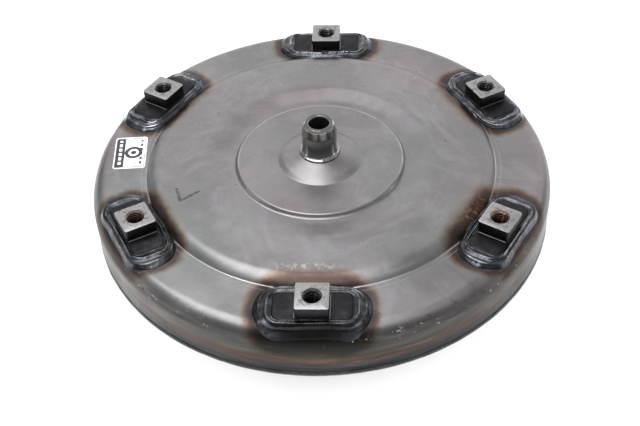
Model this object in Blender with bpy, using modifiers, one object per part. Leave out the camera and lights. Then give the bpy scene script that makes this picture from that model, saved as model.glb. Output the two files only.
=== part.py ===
"""A torque converter with a lock-up clutch, for an engine that bolts its flex plate to six welded lugs.

Metres. The origin is the centre of the impeller hub's end face, and +Z runs along the converter's axis
towards the engine, so the front cover with its pilot and lugs is on top.
"""

import math

import bmesh
import bpy
from mathutils import Matrix, Vector

# ---------------------------------------------------------------- driving dimensions
GAP = 0.0003                    # between pieces that touch
LUG_COUNT = 6
LUG_CIRCLE_RADIUS = 0.130       # the flex plate's bolt circle
LUG_FACE = 0.124                # height of the lugs' machined faces
FIRST_LUG_ANGLE = math.radians(86.3)
BODY_RADIUS = 0.1514            # outside of the front cover's wall
COVER_SHEET = 0.0038
IMPELLER_SHEET = 0.0035
TURBINE_SHEET = 0.0020
ROUND = 40                      # facets round the cover and the impeller shell
SHELL_ROUND = 32                # facets round the turbine shell and the piston
CORE_ROUND = 24                 # facets round the core rings
SMALL_ROUND = 20                # facets round the small turned pieces

# Heights on the front cover, down from the lugs' faces.
PLATEAU_TOP = LUG_FACE - 0.0072
RING_TOP = LUG_FACE - 0.0121
DISC_TOP = LUG_FACE - 0.0080
VALLEY_FLOOR = LUG_FACE - 0.0105
COVER_RIM = LUG_FACE - 0.0435
PLATEAU_EDGE = 0.1050           # where the plateau starts to roll down to the lug ring
PLATEAU_BEND = 0.0132
PLATEAU_ROLL = 51               # degrees of roll, which ends in a crease on the lug ring
STEP_FOOT = PLATEAU_EDGE + PLATEAU_BEND * math.sin(math.radians(PLATEAU_ROLL))
VALLEY_EDGE = 0.0750
DISC_RADIUS = 0.0549
DISC_FLAT_RADIUS = 0.0279       # inner edge of the disc's flat, at the foot of the pilot's dome
DOME_RADIUS = 0.0256
DOME_EDGE = LUG_FACE - 0.0052
SHOULDER = 0.0103               # outer radius of the bend from the lug ring to the wall

# Mounting lugs: a flat plate with a square block, tapped M10.
LUG_BLOCK = 0.0202
LUG_BLOCK_DEPTH = 0.0206        # across the plate, so that its sides stand just proud of the plate's
LUG_PLATE_LENGTH = 0.0473
LUG_PLATE_CORNER = 0.0042
LUG_PLATE_TOP = LUG_FACE - 0.0088
LUG_HOLE_RADIUS = 0.0044
LUG_CHAMFER_RADIUS = 0.0055
LUG_CHAMFER_DEPTH = 0.0011
LUG_WELD_LENGTH = 0.0690
LUG_WELD_WIDTH = 0.0328
LUG_WELD_CORNER = 0.0148

# Pilot, which centres the converter in the crankshaft.
PILOT_RADIUS = 0.0113
PILOT_TIP_RADIUS = 0.0091
PILOT_BORE_RADIUS = 0.0065
PILOT_TOP = LUG_FACE + 0.0214
PILOT_COLLAR_RADIUS = 0.0131
PILOT_ROOT_RADIUS = 0.0180

# Torus: both bladed shells are half ellipses about this ring.
TORUS_RADIUS = 0.101
IMPELLER_MID = LUG_FACE - 0.0460
TURBINE_MID = IMPELLER_MID + 0.0030
IMPELLER_REACH = 0.0457         # outer radial semi-axis of the impeller shell
IMPELLER_DEPTH = 0.0300
TURBINE_REACH = 0.0402
TURBINE_DEPTH = 0.0205
CORE_REACH = 0.0190
IMPELLER_CORE_DEPTH = 0.0080
TURBINE_CORE_DEPTH = 0.0070
CORE_SHEET = 0.0012
BLADE_SHEET = 0.0010
TORUS_END = 125                 # degrees round the ellipse, from the outer edge to where the blades stop
STATIONS = 3                    # straight runs along a blade
IMPELLER_BLADES = 19
TURBINE_BLADES = 17
STATOR_BLADES = 11

# Impeller hub, which drives the oil pump and runs in its bush.
HUB_RADIUS = 0.0240
HUB_BORE_RADIUS = 0.0205
HUB_FLANGE_RADIUS = 0.0380
HUB_FLANGE_LOW = IMPELLER_MID - 0.0215
HUB_FLANGE_TOP = IMPELLER_MID - 0.0170
SHELL_FLAT = HUB_FLANGE_LOW + 0.0005    # underside of the impeller shell round the hub
SHELL_FLAT_RADIUS = 0.0640
SHELL_TOP = COVER_RIM + 0.0080          # the impeller shell's edge stands inside the cover
PUMP_SLOT_WIDTH = 0.0125
PUMP_SLOT_DEPTH = 0.0100

# The stack along the axis, bottom to top, in thicknesses.
RACE = 0.0009
NEEDLE_CAGE = 0.0022
END_CAP = 0.0018
CLUTCH_LENGTH = 0.0187
BEARING_BORE = 0.0245
BEARING_RADIUS = 0.0370
NEEDLES = 10

# One-way clutch and stator.
INNER_RACE_BORE = 0.0180
INNER_RACE_RADIUS = 0.0265
OUTER_RACE_BORE = 0.0335
OUTER_RACE_RADIUS = 0.0415
STATOR_HUB_RADIUS = 0.0570
STATOR_SHROUD_RADIUS = 0.0800
STATOR_SHROUD_SHEET = 0.0018
SPRAGS = 11

# Turbine hub.
SHAFT_BORE_RADIUS = 0.0135
SHAFT_SPLINES = 18
TURBINE_HUB_RADIUS = 0.0190
TURBINE_FLANGE_RADIUS = 0.0460
RIVET_CIRCLE = 0.0428
RIVETS = 6
RIVET_HOLE_RADIUS = 0.0023
TURBINE_HUB_TOP = IMPELLER_MID + 0.0325
SEAL_GROOVE = TURBINE_HUB_TOP - 0.0040  # middle of the piston seal's groove
SEAL_GROOVE_DEPTH = 0.0015
SEAL_GROOVE_HALF = 0.0012
TURBINE_NECK_TOP = IMPELLER_MID + 0.0160

# Lock-up clutch and its damper.
PISTON_SHEET = 0.0026
PISTON_RADIUS = 0.1390
PISTON_BORE = 0.0200
LINING_SHEET = 0.0010
LINING_INNER = 0.1160
LINING_OUTER = 0.1370
CLUTCH_CLEARANCE = 0.0009       # lining to cover, released
DAMPER_PLATE = 0.0016
DAMPER_RADIUS = 0.0680
DAMPER_PIN_CIRCLE = 0.0625
DAMPER_PIN_HOLE = 0.0018
SPRINGS = 4
SPRING_CIRCLE = 0.0540
SPRING_COIL_RADIUS = 0.0042
SPRING_WIRE_RADIUS = 0.0010
SPRING_LENGTH = 0.0400
SPRING_TURNS = 5
SPRING_WINDOW = 2 * (SPRING_COIL_RADIUS + SPRING_WIRE_RADIUS) + 0.0008
DRIVE_TEETH = 12
DRIVE_TOOTH_ROOT = 0.0665
DRIVE_TOOTH_TIP = 0.0700


# ---------------------------------------------------------------- scene, materials and placing
def clear_scene():
    for obj in list(bpy.data.objects):
        bpy.data.objects.remove(obj, do_unlink=True)


def new_collection(name, hidden=False):
    collection = bpy.data.collections.new(name)
    collection.hide_render = hidden
    bpy.context.scene.collection.children.link(collection)
    return collection


def new_material(name, colour, metallic, roughness):
    material = bpy.data.materials.new(name)
    material.use_nodes = True
    shader = material.node_tree.nodes["Principled BSDF"]
    shader.inputs["Base Color"].default_value = (*colour, 1.0)
    shader.inputs["Metallic"].default_value = metallic
    shader.inputs["Roughness"].default_value = roughness
    return material


clear_scene()
PARTS = new_collection("torque_converter")
CUTTERS = new_collection("cutters", hidden=True)
MATERIALS = {
    "sheet_steel": new_material("sheet_steel", (0.33, 0.32, 0.31), 0.9, 0.42),
    "machined_steel": new_material("machined_steel", (0.50, 0.49, 0.48), 1.0, 0.25),
    "forged_steel": new_material("forged_steel", (0.09, 0.09, 0.10), 0.6, 0.55),
    "weld_metal": new_material("weld_metal", (0.06, 0.065, 0.08), 0.8, 0.35),
    "bearing_steel": new_material("bearing_steel", (0.45, 0.45, 0.46), 1.0, 0.2),
    "spring_steel": new_material("spring_steel", (0.16, 0.15, 0.14), 0.9, 0.35),
    "cast_aluminium": new_material("cast_aluminium", (0.62, 0.62, 0.63), 0.9, 0.45),
    "friction_paper": new_material("friction_paper", (0.16, 0.10, 0.06), 0.0, 0.9),
    "bronze": new_material("bronze", (0.45, 0.30, 0.13), 0.9, 0.4),
    "seal_rubber": new_material("seal_rubber", (0.02, 0.02, 0.02), 0.0, 0.6),
}


def new_axis(name, parent=None):
    """An empty on the converter's axis, which carries the pieces that turn or slide together."""
    axis = bpy.data.objects.new(name, None)
    axis.empty_display_size = 0.05
    PARTS.objects.link(axis)
    axis.parent = parent
    return axis


HOUSING = new_axis("housing_axis")
TURBINE = new_axis("turbine_axis", HOUSING)
DAMPER = new_axis("damper_axis", TURBINE)
PISTON = new_axis("piston_axis", DAMPER)
RACE_AXIS = new_axis("one_way_inner_race_axis", HOUSING)
STATOR = new_axis("stator_axis", RACE_AXIS)
REAR_CAGE = new_axis("rear_bearing_cage_axis", HOUSING)
FRONT_CAGE = new_axis("front_bearing_cage_axis", HOUSING)


def keep(obj, material, axis):
    """Makes the shape one of the converter's pieces."""
    for collection in list(obj.users_collection):
        collection.objects.unlink(obj)
    PARTS.objects.link(obj)
    obj.data.materials.clear()
    obj.data.materials.append(MATERIALS[material])
    obj.data.shade_smooth()
    obj.data.set_sharp_from_angle(angle=math.radians(32))
    obj.parent = axis
    return obj


# ---------------------------------------------------------------- shapes
def evaluated_mesh(obj):
    bpy.context.view_layer.update()
    graph = bpy.context.evaluated_depsgraph_get()
    return bpy.data.meshes.new_from_object(obj.evaluated_get(graph))


def applied(obj):
    """Turns the object's modifiers, or its curve, into a plain closed mesh that faces out."""
    mesh = evaluated_mesh(obj)
    mesh.name = obj.name
    edit = bmesh.new()
    edit.from_mesh(mesh)
    bmesh.ops.transform(edit, matrix=obj.matrix_world, verts=edit.verts)
    bmesh.ops.remove_doubles(edit, verts=edit.verts, dist=0.000001)
    bmesh.ops.recalc_face_normals(edit, faces=edit.faces)
    edit.to_mesh(mesh)
    edit.free()
    name = obj.name
    bpy.data.objects.remove(obj, do_unlink=True)
    solid = bpy.data.objects.new(name, mesh)
    CUTTERS.objects.link(solid)
    solid.hide_render = True
    solid.display_type = "WIRE"
    return solid


def shown(obj):
    obj.hide_render = False
    obj.display_type = "TEXTURED"
    return obj


def turned(name, outline, facets):
    """A solid of revolution of (radius, height) points, down the outer side and back up the inner."""
    count = len(outline)
    mesh = bpy.data.meshes.new(name)
    edges = [(i, (i + 1) % count) for i in range(count)]
    mesh.from_pydata([(r, 0.0, z) for r, z in outline], edges, [])
    obj = bpy.data.objects.new(name, mesh)
    CUTTERS.objects.link(obj)
    screw = obj.modifiers.new("turn", "SCREW")
    screw.steps = facets
    screw.render_steps = facets
    screw.use_merge_vertices = True
    screw.merge_threshold = 0.00001
    return shown(applied(obj))


def ring(name, inner, outer, low, high, facets=SMALL_ROUND):
    return turned(name, [(outer, high), (outer, low), (inner, low), (inner, high)], facets)


def arc(centre, radii, start, end, steps):
    """Points on an ellipse in the (radius, height) plane, both ends included, angles in degrees."""
    points = []
    for step in range(steps + 1):
        angle = math.radians(start + (end - start) * step / steps)
        points.append((centre[0] + radii[0] * math.cos(angle), centre[1] + radii[1] * math.sin(angle)))
    return points


def circle(radius, facets, centre=(0.0, 0.0)):
    points = []
    for step in range(facets):
        angle = math.tau * step / facets
        points.append((centre[0] + radius * math.cos(angle), centre[1] + radius * math.sin(angle)))
    return points


def toothed(root, tip, teeth, share=0.5):
    """A toothed outline: each tooth takes this share of its pitch at the tip circle."""
    points = []
    pitch = math.tau / teeth
    for tooth in range(teeth):
        middle = pitch * tooth
        for radius, offset in ((root, -0.62), (tip, -0.5), (tip, 0.5), (root, 0.62)):
            angle = middle + offset * share * pitch
            points.append((radius * math.cos(angle), radius * math.sin(angle)))
    return points


def rounded_rectangle(length, width, corner, steps):
    """Points round a rectangle with rounded corners, centred on the origin, length along X."""
    points = []
    for quarter, (sx, sy) in enumerate(((1, 1), (-1, 1), (-1, -1), (1, -1))):
        centre = (sx * (length / 2 - corner), sy * (width / 2 - corner))
        points += arc(centre, (corner, corner), 90 * quarter, 90 * quarter + 90, steps)
    return points


def plate(name, outlines, low, high):
    """A flat plate: the first outline is its edge, the others are holes."""
    curve = bpy.data.curves.new(name, "CURVE")
    curve.dimensions = "2D"
    curve.fill_mode = "BOTH"
    curve.extrude = (high - low) / 2
    for outline in outlines:
        spline = curve.splines.new("POLY")
        spline.points.add(len(outline) - 1)
        for point, (x, y) in zip(spline.points, outline):
            point.co = (x, y, 0.0, 1.0)
        spline.use_cyclic_u = True
    obj = bpy.data.objects.new(name, curve)
    obj.location.z = (low + high) / 2
    CUTTERS.objects.link(obj)
    return shown(applied(obj))


def box(name, size):
    mesh = bpy.data.meshes.new(name)
    edit = bmesh.new()
    bmesh.ops.create_cube(edit, size=1.0)
    bmesh.ops.scale(edit, vec=Vector(size), verts=edit.verts)
    edit.to_mesh(mesh)
    edit.free()
    obj = bpy.data.objects.new(name, mesh)
    CUTTERS.objects.link(obj)
    return obj


def combined(obj, other, operation):
    """The object joined with, or cut by, another one, which stays with the cutters."""
    boolean = obj.modifiers.new(operation.lower(), "BOOLEAN")
    boolean.operation = operation
    boolean.object = other
    result = shown(applied(obj))
    bpy.data.objects.remove(other, do_unlink=True)
    return result


def moved(obj, angle=0.0, radius=0.0, height=0.0):
    """Carries the shape out along X and then round the axis."""
    shift = Matrix.Translation((radius, 0.0, height))
    obj.data.transform(Matrix.Rotation(angle, 4, "Z") @ shift)
    return obj


def copies_in_one(name, obj, count, turn=0.0):
    """One mesh with the shape repeated round the axis; a union then joins the copies to what they cross."""
    edit = bmesh.new()
    for copy in range(count):
        start = len(edit.verts)
        edit.from_mesh(obj.data)
        edit.verts.ensure_lookup_table()
        spin = Matrix.Rotation(turn + math.tau * copy / count, 4, "Z")
        bmesh.ops.transform(edit, matrix=spin, verts=edit.verts[start:])
    mesh = bpy.data.meshes.new(name)
    edit.to_mesh(mesh)
    edit.free()
    bpy.data.objects.remove(obj, do_unlink=True)
    result = bpy.data.objects.new(name, mesh)
    CUTTERS.objects.link(result)
    return result


# ---------------------------------------------------------------- front cover, pilot and lugs
def cover_outside(grow=0.0):
    """The pressed cover's outer face, from the pilot hole to the rim, moved out by grow."""
    valley = [
        (DOME_RADIUS, DOME_EDGE),
        (DISC_FLAT_RADIUS, DISC_TOP + 0.0002),
        (DISC_RADIUS, DISC_TOP - 0.0003),
        (DISC_RADIUS + 0.0010, VALLEY_FLOOR),
        (DISC_RADIUS + 0.0030, VALLEY_FLOOR),
        (VALLEY_EDGE, PLATEAU_TOP),
    ]
    middle = (PLATEAU_EDGE, PLATEAU_TOP - PLATEAU_BEND)
    step = arc(middle, (PLATEAU_BEND, PLATEAU_BEND), 90, 90 - PLATEAU_ROLL, 4)[:-1]
    step.append((STEP_FOOT, RING_TOP))
    bend = arc((BODY_RADIUS - SHOULDER, RING_TOP - SHOULDER), (SHOULDER, SHOULDER), 90, 0, 3)
    points = [(PILOT_COLLAR_RADIUS + GAP, LUG_FACE - 0.0023)] + valley + step + bend
    points.append((BODY_RADIUS, COVER_RIM))
    return [(radius + grow, height + grow) for radius, height in points]


def front_cover():
    wall = BODY_RADIUS - COVER_SHEET
    inside = [
        (wall, COVER_RIM),
        (wall, RING_TOP - SHOULDER),
        (wall - 0.0030, RING_TOP - COVER_SHEET),
        (STEP_FOOT, RING_TOP - COVER_SHEET),
        (PLATEAU_EDGE, PLATEAU_TOP - COVER_SHEET),
        (VALLEY_EDGE + 0.0020, PLATEAU_TOP - COVER_SHEET),
        (DISC_RADIUS + 0.0020, VALLEY_FLOOR - COVER_SHEET),
        (DISC_FLAT_RADIUS + 0.0011, DISC_TOP - COVER_SHEET + 0.0001),
        (PILOT_COLLAR_RADIUS + GAP, LUG_FACE - 0.0023 - COVER_SHEET),
    ]
    return keep(turned("front_cover", cover_outside() + inside, ROUND), "sheet_steel", HOUSING)


def pilot_hub():
    outline = [
        (0.0, PILOT_TOP - 0.0240),
        (PILOT_BORE_RADIUS, PILOT_TOP - 0.0215),
        (PILOT_BORE_RADIUS, PILOT_TOP - 0.0010),
        (PILOT_BORE_RADIUS + 0.0008, PILOT_TOP),
        (PILOT_TIP_RADIUS, PILOT_TOP),
        (PILOT_RADIUS, PILOT_TOP - 0.0064),
        (PILOT_RADIUS, LUG_FACE - 0.0008),
        (PILOT_COLLAR_RADIUS, LUG_FACE - 0.0016),
        (PILOT_COLLAR_RADIUS, LUG_FACE - 0.0064),
        (PILOT_ROOT_RADIUS, LUG_FACE - 0.0082),
        (PILOT_ROOT_RADIUS, LUG_FACE - 0.0108),
        (0.0, LUG_FACE - 0.0108),
    ]
    return keep(turned("pilot_hub", outline, SMALL_ROUND), "machined_steel", HOUSING)


def lug_angle(index):
    return FIRST_LUG_ANGLE - math.tau * index / LUG_COUNT


def lug_place(obj, index):
    """Shapes for a lug are drawn with their length along X; this turns that along the rim."""
    obj.data.transform(Matrix.Rotation(-math.pi / 2, 4, "Z"))
    return moved(obj, lug_angle(index), LUG_CIRCLE_RADIUS)


def mounting_lug(index):
    name = f"mounting_lug_{index + 1}"
    low = RING_TOP + GAP
    flat_shape = rounded_rectangle(LUG_PLATE_LENGTH, LUG_BLOCK, LUG_PLATE_CORNER, 1)
    flat = plate(name, [flat_shape], low, LUG_PLATE_TOP)
    block = plate("block", [rounded_rectangle(LUG_BLOCK, LUG_BLOCK_DEPTH, 0.0012, 1)], low, LUG_FACE)
    lug = combined(flat, block, "UNION")
    thread = turned(
        "thread",
        [
            (0.0, LUG_FACE + 0.0010),
            (LUG_CHAMFER_RADIUS + 0.0010, LUG_FACE + 0.0010),
            (LUG_HOLE_RADIUS, LUG_FACE - LUG_CHAMFER_DEPTH),
            (LUG_HOLE_RADIUS, low - 0.0010),
            (0.0, low - 0.0010),
        ],
        12,
    )
    lug = combined(lug, thread, "DIFFERENCE")
    return keep(lug_place(lug, index), "forged_steel", HOUSING)


def mound(name, sections, steps):
    """A closed pile of rounded rectangles, each section being (length, width, corner, height)."""
    mesh = bpy.data.meshes.new(name)
    edit = bmesh.new()
    loops = []
    for length, width, corner, height in sections:
        outline = rounded_rectangle(length, width, corner, steps)
        loops.append([edit.verts.new((x, y, height)) for x, y in outline])
    for lower, upper in zip(loops, loops[1:]):
        for side in range(len(lower)):
            after = (side + 1) % len(lower)
            edit.faces.new((lower[side], lower[after], upper[after], upper[side]))
    edit.faces.new(loops[0])
    edit.faces.new(loops[-1])
    bmesh.ops.recalc_face_normals(edit, faces=edit.faces)
    edit.to_mesh(mesh)
    edit.free()
    obj = bpy.data.objects.new(name, mesh)
    CUTTERS.objects.link(obj)
    return obj


def lug_weld(index):
    """The fillet weld all round a lug's plate, which follows the cover's step and shoulder."""
    length = LUG_WELD_LENGTH
    width = LUG_WELD_WIDTH
    corner = LUG_WELD_CORNER
    bead = mound(
        f"lug_weld_{index + 1}",
        [
            (length, width, corner, RING_TOP - 0.0090),
            (length, width, corner, RING_TOP + 0.0010),
            (length - 0.0060, width - 0.0040, corner - 0.0020, RING_TOP + 0.0026),
            (length - 0.0130, width - 0.0088, corner - 0.0055, LUG_PLATE_TOP + 0.0007),
        ],
        2,
    )
    room_shape = rounded_rectangle(
        LUG_PLATE_LENGTH + 2 * GAP, LUG_BLOCK_DEPTH + 2 * GAP, LUG_PLATE_CORNER - 0.0010, 1
    )
    room = plate("lug_room", [room_shape], RING_TOP - 0.0200, LUG_FACE)
    bead = combined(bead, room, "DIFFERENCE")
    bead = lug_place(bead, index)
    top = (0.0, LUG_FACE)
    bottom = (0.0, RING_TOP - 0.0300)
    cover_room = turned("cover_room", [top] + cover_outside(GAP) + [bottom], ROUND)
    bead = combined(bead, cover_room, "DIFFERENCE")
    return keep(bead, "weld_metal", HOUSING)


def closing_weld():
    """The weld that closes the converter, in the corner between the cover's rim and the impeller shell."""
    shell = TORUS_RADIUS + IMPELLER_REACH + GAP
    outline = [
        (BODY_RADIUS, COVER_RIM - GAP),
        (BODY_RADIUS + 0.0004, COVER_RIM - 0.0020),
        (BODY_RADIUS - 0.0003, COVER_RIM - 0.0040),
        (shell + 0.0010, COVER_RIM - 0.0058),
        (shell, COVER_RIM - 0.0058),
        (shell, COVER_RIM - GAP),
    ]
    return keep(turned("closing_weld", outline, ROUND), "weld_metal", HOUSING)


# ---------------------------------------------------------------- impeller
def impeller_shell():
    centre = (TORUS_RADIUS, IMPELLER_MID)
    neck = HUB_FLANGE_RADIUS + GAP
    inner_reach = IMPELLER_REACH - IMPELLER_SHEET
    outside = [(TORUS_RADIUS + IMPELLER_REACH, SHELL_TOP)]
    outside += arc(centre, (IMPELLER_REACH, IMPELLER_DEPTH), 0, -130, 6)
    outside += [(SHELL_FLAT_RADIUS, SHELL_FLAT), (neck, SHELL_FLAT)]
    inside = [(neck, SHELL_FLAT + IMPELLER_SHEET), (SHELL_FLAT_RADIUS, SHELL_FLAT + IMPELLER_SHEET)]
    inside += torus_edge(IMPELLER_MID, -1, inner_reach, IMPELLER_DEPTH - IMPELLER_SHEET)[::-1]
    inside += [(TORUS_RADIUS + inner_reach, SHELL_TOP)]
    return keep(turned("impeller_shell", outside + inside, ROUND), "sheet_steel", HOUSING)


def impeller_hub():
    outline = [
        (HUB_FLANGE_RADIUS, HUB_FLANGE_TOP),
        (HUB_FLANGE_RADIUS, HUB_FLANGE_LOW),
        (HUB_RADIUS + 0.0030, HUB_FLANGE_LOW),
        (HUB_RADIUS, HUB_FLANGE_LOW - 0.0030),
        (HUB_RADIUS, 0.0010),
        (HUB_RADIUS - 0.0010, 0.0),
        (HUB_BORE_RADIUS, 0.0),
        (HUB_BORE_RADIUS, HUB_FLANGE_TOP),
    ]
    hub = turned("impeller_hub", outline, 24)
    slot = box("pump_slot", (4 * HUB_RADIUS, PUMP_SLOT_WIDTH, 2 * PUMP_SLOT_DEPTH))
    return keep(combined(hub, slot, "DIFFERENCE"), "machined_steel", HOUSING)


def hub_weld():
    low = HUB_FLANGE_LOW - 0.0014
    inner = HUB_FLANGE_RADIUS - 0.0022
    outline = [
        (HUB_FLANGE_RADIUS + 0.0026, SHELL_FLAT - GAP),
        (HUB_FLANGE_RADIUS + 0.0010, low),
        (HUB_FLANGE_RADIUS - 0.0010, low),
        (inner, HUB_FLANGE_LOW - GAP),
        (HUB_FLANGE_RADIUS, HUB_FLANGE_LOW - GAP),
    ]
    return keep(turned("hub_weld", outline, 24), "weld_metal", HOUSING)


def balance_weight(index, angle):
    """A small plate welded to the flat of the impeller shell to balance the finished converter."""
    top = SHELL_FLAT - GAP
    shape = rounded_rectangle(0.0110, 0.0240, 0.0020, 2)
    weight = plate(f"balance_weight_{index}", [shape], top - 0.0028, top)
    return keep(moved(weight, angle, 0.0520), "sheet_steel", HOUSING)


def torus_edge(mid, way, reach, depth):
    """Points where an elliptical wall passes the blades' stations; way is -1 below the mid plane, 1 above."""
    return arc((TORUS_RADIUS, mid), (reach, depth), 0, way * TORUS_END, STATIONS)


def along(points, share):
    """The point this share of the way along straight runs between the points."""
    place = share * (len(points) - 1)
    index = min(int(place), len(points) - 2)
    return Vector(points[index]).lerp(Vector(points[index + 1]), place - index)


def blade(core_edge, shell_edge, sweep):
    """One curved sheet blade between the two edges, each a list of (radius, height) points."""
    mesh = bpy.data.meshes.new("blade")
    edit = bmesh.new()
    rows = []
    for station in range(STATIONS + 1):
        share = min(max(station / STATIONS, 0.02), 0.98)
        turn = sweep(share)
        row = []
        for edge in (core_edge, shell_edge):
            radius, height = along(edge, share)
            row.append(edit.verts.new((radius * math.cos(turn), radius * math.sin(turn), height)))
        rows.append(row)
    for before, after in zip(rows, rows[1:]):
        edit.faces.new((before[0], before[1], after[1], after[0]))
    edit.to_mesh(mesh)
    edit.free()
    obj = bpy.data.objects.new("blade", mesh)
    CUTTERS.objects.link(obj)
    thicken = obj.modifiers.new("sheet", "SOLIDIFY")
    thicken.thickness = BLADE_SHEET
    thicken.offset = 0.0
    return applied(obj)


def bladed_ring(name, mid, way, shell_edge, core_depth, count, sweep):
    """The blades of one wheel, brazed to the thin ring round the torus's core."""
    outer = torus_edge(mid, way, CORE_REACH, core_depth)
    inner = torus_edge(mid, way, CORE_REACH - CORE_SHEET, core_depth - CORE_SHEET)
    core = turned(name, outer + inner[::-1], CORE_ROUND)
    middle = torus_edge(mid, way, CORE_REACH - CORE_SHEET / 2, core_depth - CORE_SHEET / 2)
    facet = math.cos(math.pi / SHELL_ROUND)
    reach = [(radius * facet - GAP, height - way * 2 * GAP) for radius, height in shell_edge]
    blades = copies_in_one("blades", blade(middle, reach, sweep), count)
    return combined(core, blades, "UNION")


def impeller_blades():
    def sweep(share):
        return math.radians(-14) * share

    shell = torus_edge(
        IMPELLER_MID, -1, IMPELLER_REACH - IMPELLER_SHEET, IMPELLER_DEPTH - IMPELLER_SHEET
    )
    wheel = bladed_ring(
        "impeller_blades", IMPELLER_MID, -1, shell, IMPELLER_CORE_DEPTH, IMPELLER_BLADES, sweep
    )
    return keep(wheel, "sheet_steel", HOUSING)


# ---------------------------------------------------------------- turbine
def turbine_shell():
    centre = (TORUS_RADIUS, TURBINE_MID)
    neck_top = TURBINE_NECK_TOP
    neck = RIVET_CIRCLE - 0.0033
    upper = [(neck, neck_top), (0.0650, neck_top)]
    upper += arc(centre, (TURBINE_REACH, TURBINE_DEPTH), 125, 0, 4)
    lower = torus_edge(TURBINE_MID, 1, TURBINE_REACH - TURBINE_SHEET, TURBINE_DEPTH - TURBINE_SHEET)
    lower += [(0.0640, neck_top - TURBINE_SHEET), (neck, neck_top - TURBINE_SHEET)]
    shell = turned("turbine_shell", upper + lower, SHELL_ROUND)
    holes = copies_in_one("rivet_holes", rivet_hole(), RIVETS)
    return keep(combined(shell, holes, "DIFFERENCE"), "sheet_steel", TURBINE)


def rivet_hole():
    low, high = IMPELLER_MID, LUG_FACE
    outline = [(0.0, high), (RIVET_HOLE_RADIUS, high), (RIVET_HOLE_RADIUS, low), (0.0, low)]
    return moved(turned("rivet_hole", outline, 8), 0.0, RIVET_CIRCLE)


def turbine_blades():
    def sweep(share):
        return math.radians(20) * math.sin(math.pi * share) - math.radians(10) * share

    shell = torus_edge(TURBINE_MID, 1, TURBINE_REACH - TURBINE_SHEET, TURBINE_DEPTH - TURBINE_SHEET)
    wheel = bladed_ring(
        "turbine_blades", TURBINE_MID, 1, shell, TURBINE_CORE_DEPTH, TURBINE_BLADES, sweep
    )
    return keep(wheel, "sheet_steel", TURBINE)


def turbine_hub():
    flange_low = TURBINE_NECK_TOP + GAP
    flange_top = flange_low + 0.0030
    top = TURBINE_HUB_TOP
    bottom = IMPELLER_MID + 0.0110
    outline = [
        (TURBINE_HUB_RADIUS, top),
        (TURBINE_HUB_RADIUS, SEAL_GROOVE + SEAL_GROOVE_HALF),
        (TURBINE_HUB_RADIUS - SEAL_GROOVE_DEPTH, SEAL_GROOVE + SEAL_GROOVE_HALF),
        (TURBINE_HUB_RADIUS - SEAL_GROOVE_DEPTH, SEAL_GROOVE - SEAL_GROOVE_HALF),
        (TURBINE_HUB_RADIUS, SEAL_GROOVE - SEAL_GROOVE_HALF),
        (TURBINE_HUB_RADIUS, flange_top + 0.0015),
        (0.0280, flange_top + 0.0015),
        (0.0280, flange_top),
        (TURBINE_FLANGE_RADIUS, flange_top),
        (TURBINE_FLANGE_RADIUS, flange_low),
        (TURBINE_HUB_RADIUS, flange_low),
        (TURBINE_HUB_RADIUS, bottom),
        (SHAFT_BORE_RADIUS, bottom),
        (SHAFT_BORE_RADIUS, top),
    ]
    hub = turned("turbine_hub", outline, SMALL_ROUND)
    splines = plate(
        "splines",
        [toothed(SHAFT_BORE_RADIUS - 0.0005, SHAFT_BORE_RADIUS + 0.0010, SHAFT_SPLINES)],
        bottom - 0.0020,
        top + 0.0020,
    )
    hub = combined(hub, splines, "DIFFERENCE")
    holes = copies_in_one("rivet_holes", rivet_hole(), RIVETS)
    hub = combined(hub, holes, "DIFFERENCE")
    return keep(hub, "machined_steel", TURBINE)


def turbine_rivet(index):
    low = TURBINE_NECK_TOP - TURBINE_SHEET - GAP
    high = TURBINE_NECK_TOP + 0.0030 + 2 * GAP
    head = 0.0034
    outline = [
        (0.0, high + 0.0010),
        (head, high + 0.0010),
        (head, high),
        (0.0019, high),
        (0.0019, low),
        (head, low),
        (head, low - 0.0010),
        (0.0, low - 0.0010),
    ]
    rivet = turned(f"turbine_rivet_{index + 1}", outline, 6)
    return keep(moved(rivet, math.tau * index / RIVETS, RIVET_CIRCLE), "machined_steel", TURBINE)


def piston_seal():
    """The square-cut ring in the turbine hub's groove, which the lock-up piston slides on."""
    seal = ring(
        "piston_seal",
        TURBINE_HUB_RADIUS - SEAL_GROOVE_DEPTH + GAP,
        PISTON_BORE - GAP,
        SEAL_GROOVE - SEAL_GROOVE_HALF + GAP,
        SEAL_GROOVE + SEAL_GROOVE_HALF - GAP,
    )
    return keep(seal, "seal_rubber", TURBINE)


def turbine_thrust_washer():
    low = TURBINE_HUB_TOP + GAP
    washer = ring("turbine_thrust_washer", 0.0148, 0.0185, low, low + 0.0018)
    return keep(washer, "bronze", TURBINE)


# ---------------------------------------------------------------- damper and lock-up piston
DRIVEN_LOW = TURBINE_NECK_TOP + 0.0045 + 2 * GAP
REAR_PLATE_LOW = DRIVEN_LOW - 0.0025
FRONT_PLATE_LOW = DRIVEN_LOW + 0.0025
SPRING_HEIGHT = DRIVEN_LOW + DAMPER_PLATE / 2


def spring_windows():
    """The openings that the damper springs lie in."""
    windows = []
    for index in range(SPRINGS):
        angle = math.tau * (index + 0.5) / SPRINGS
        turn = Matrix.Rotation(angle, 2)
        across = SPRING_WINDOW / 2
        along_tangent = SPRING_LENGTH / 2 + 0.0007
        window = []
        for side, end in ((1, 1), (-1, 1), (-1, -1), (1, -1)):
            corner = Vector((SPRING_CIRCLE + side * across, end * along_tangent))
            window.append(tuple(turn @ corner))
        windows.append(window)
    return windows


def plate_pin_holes():
    holes = []
    for index in range(SPRINGS):
        angle = math.tau * index / SPRINGS
        centre = (DAMPER_PIN_CIRCLE * math.cos(angle), DAMPER_PIN_CIRCLE * math.sin(angle))
        holes.append(circle(DAMPER_PIN_HOLE, 8, centre))
    return holes


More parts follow.
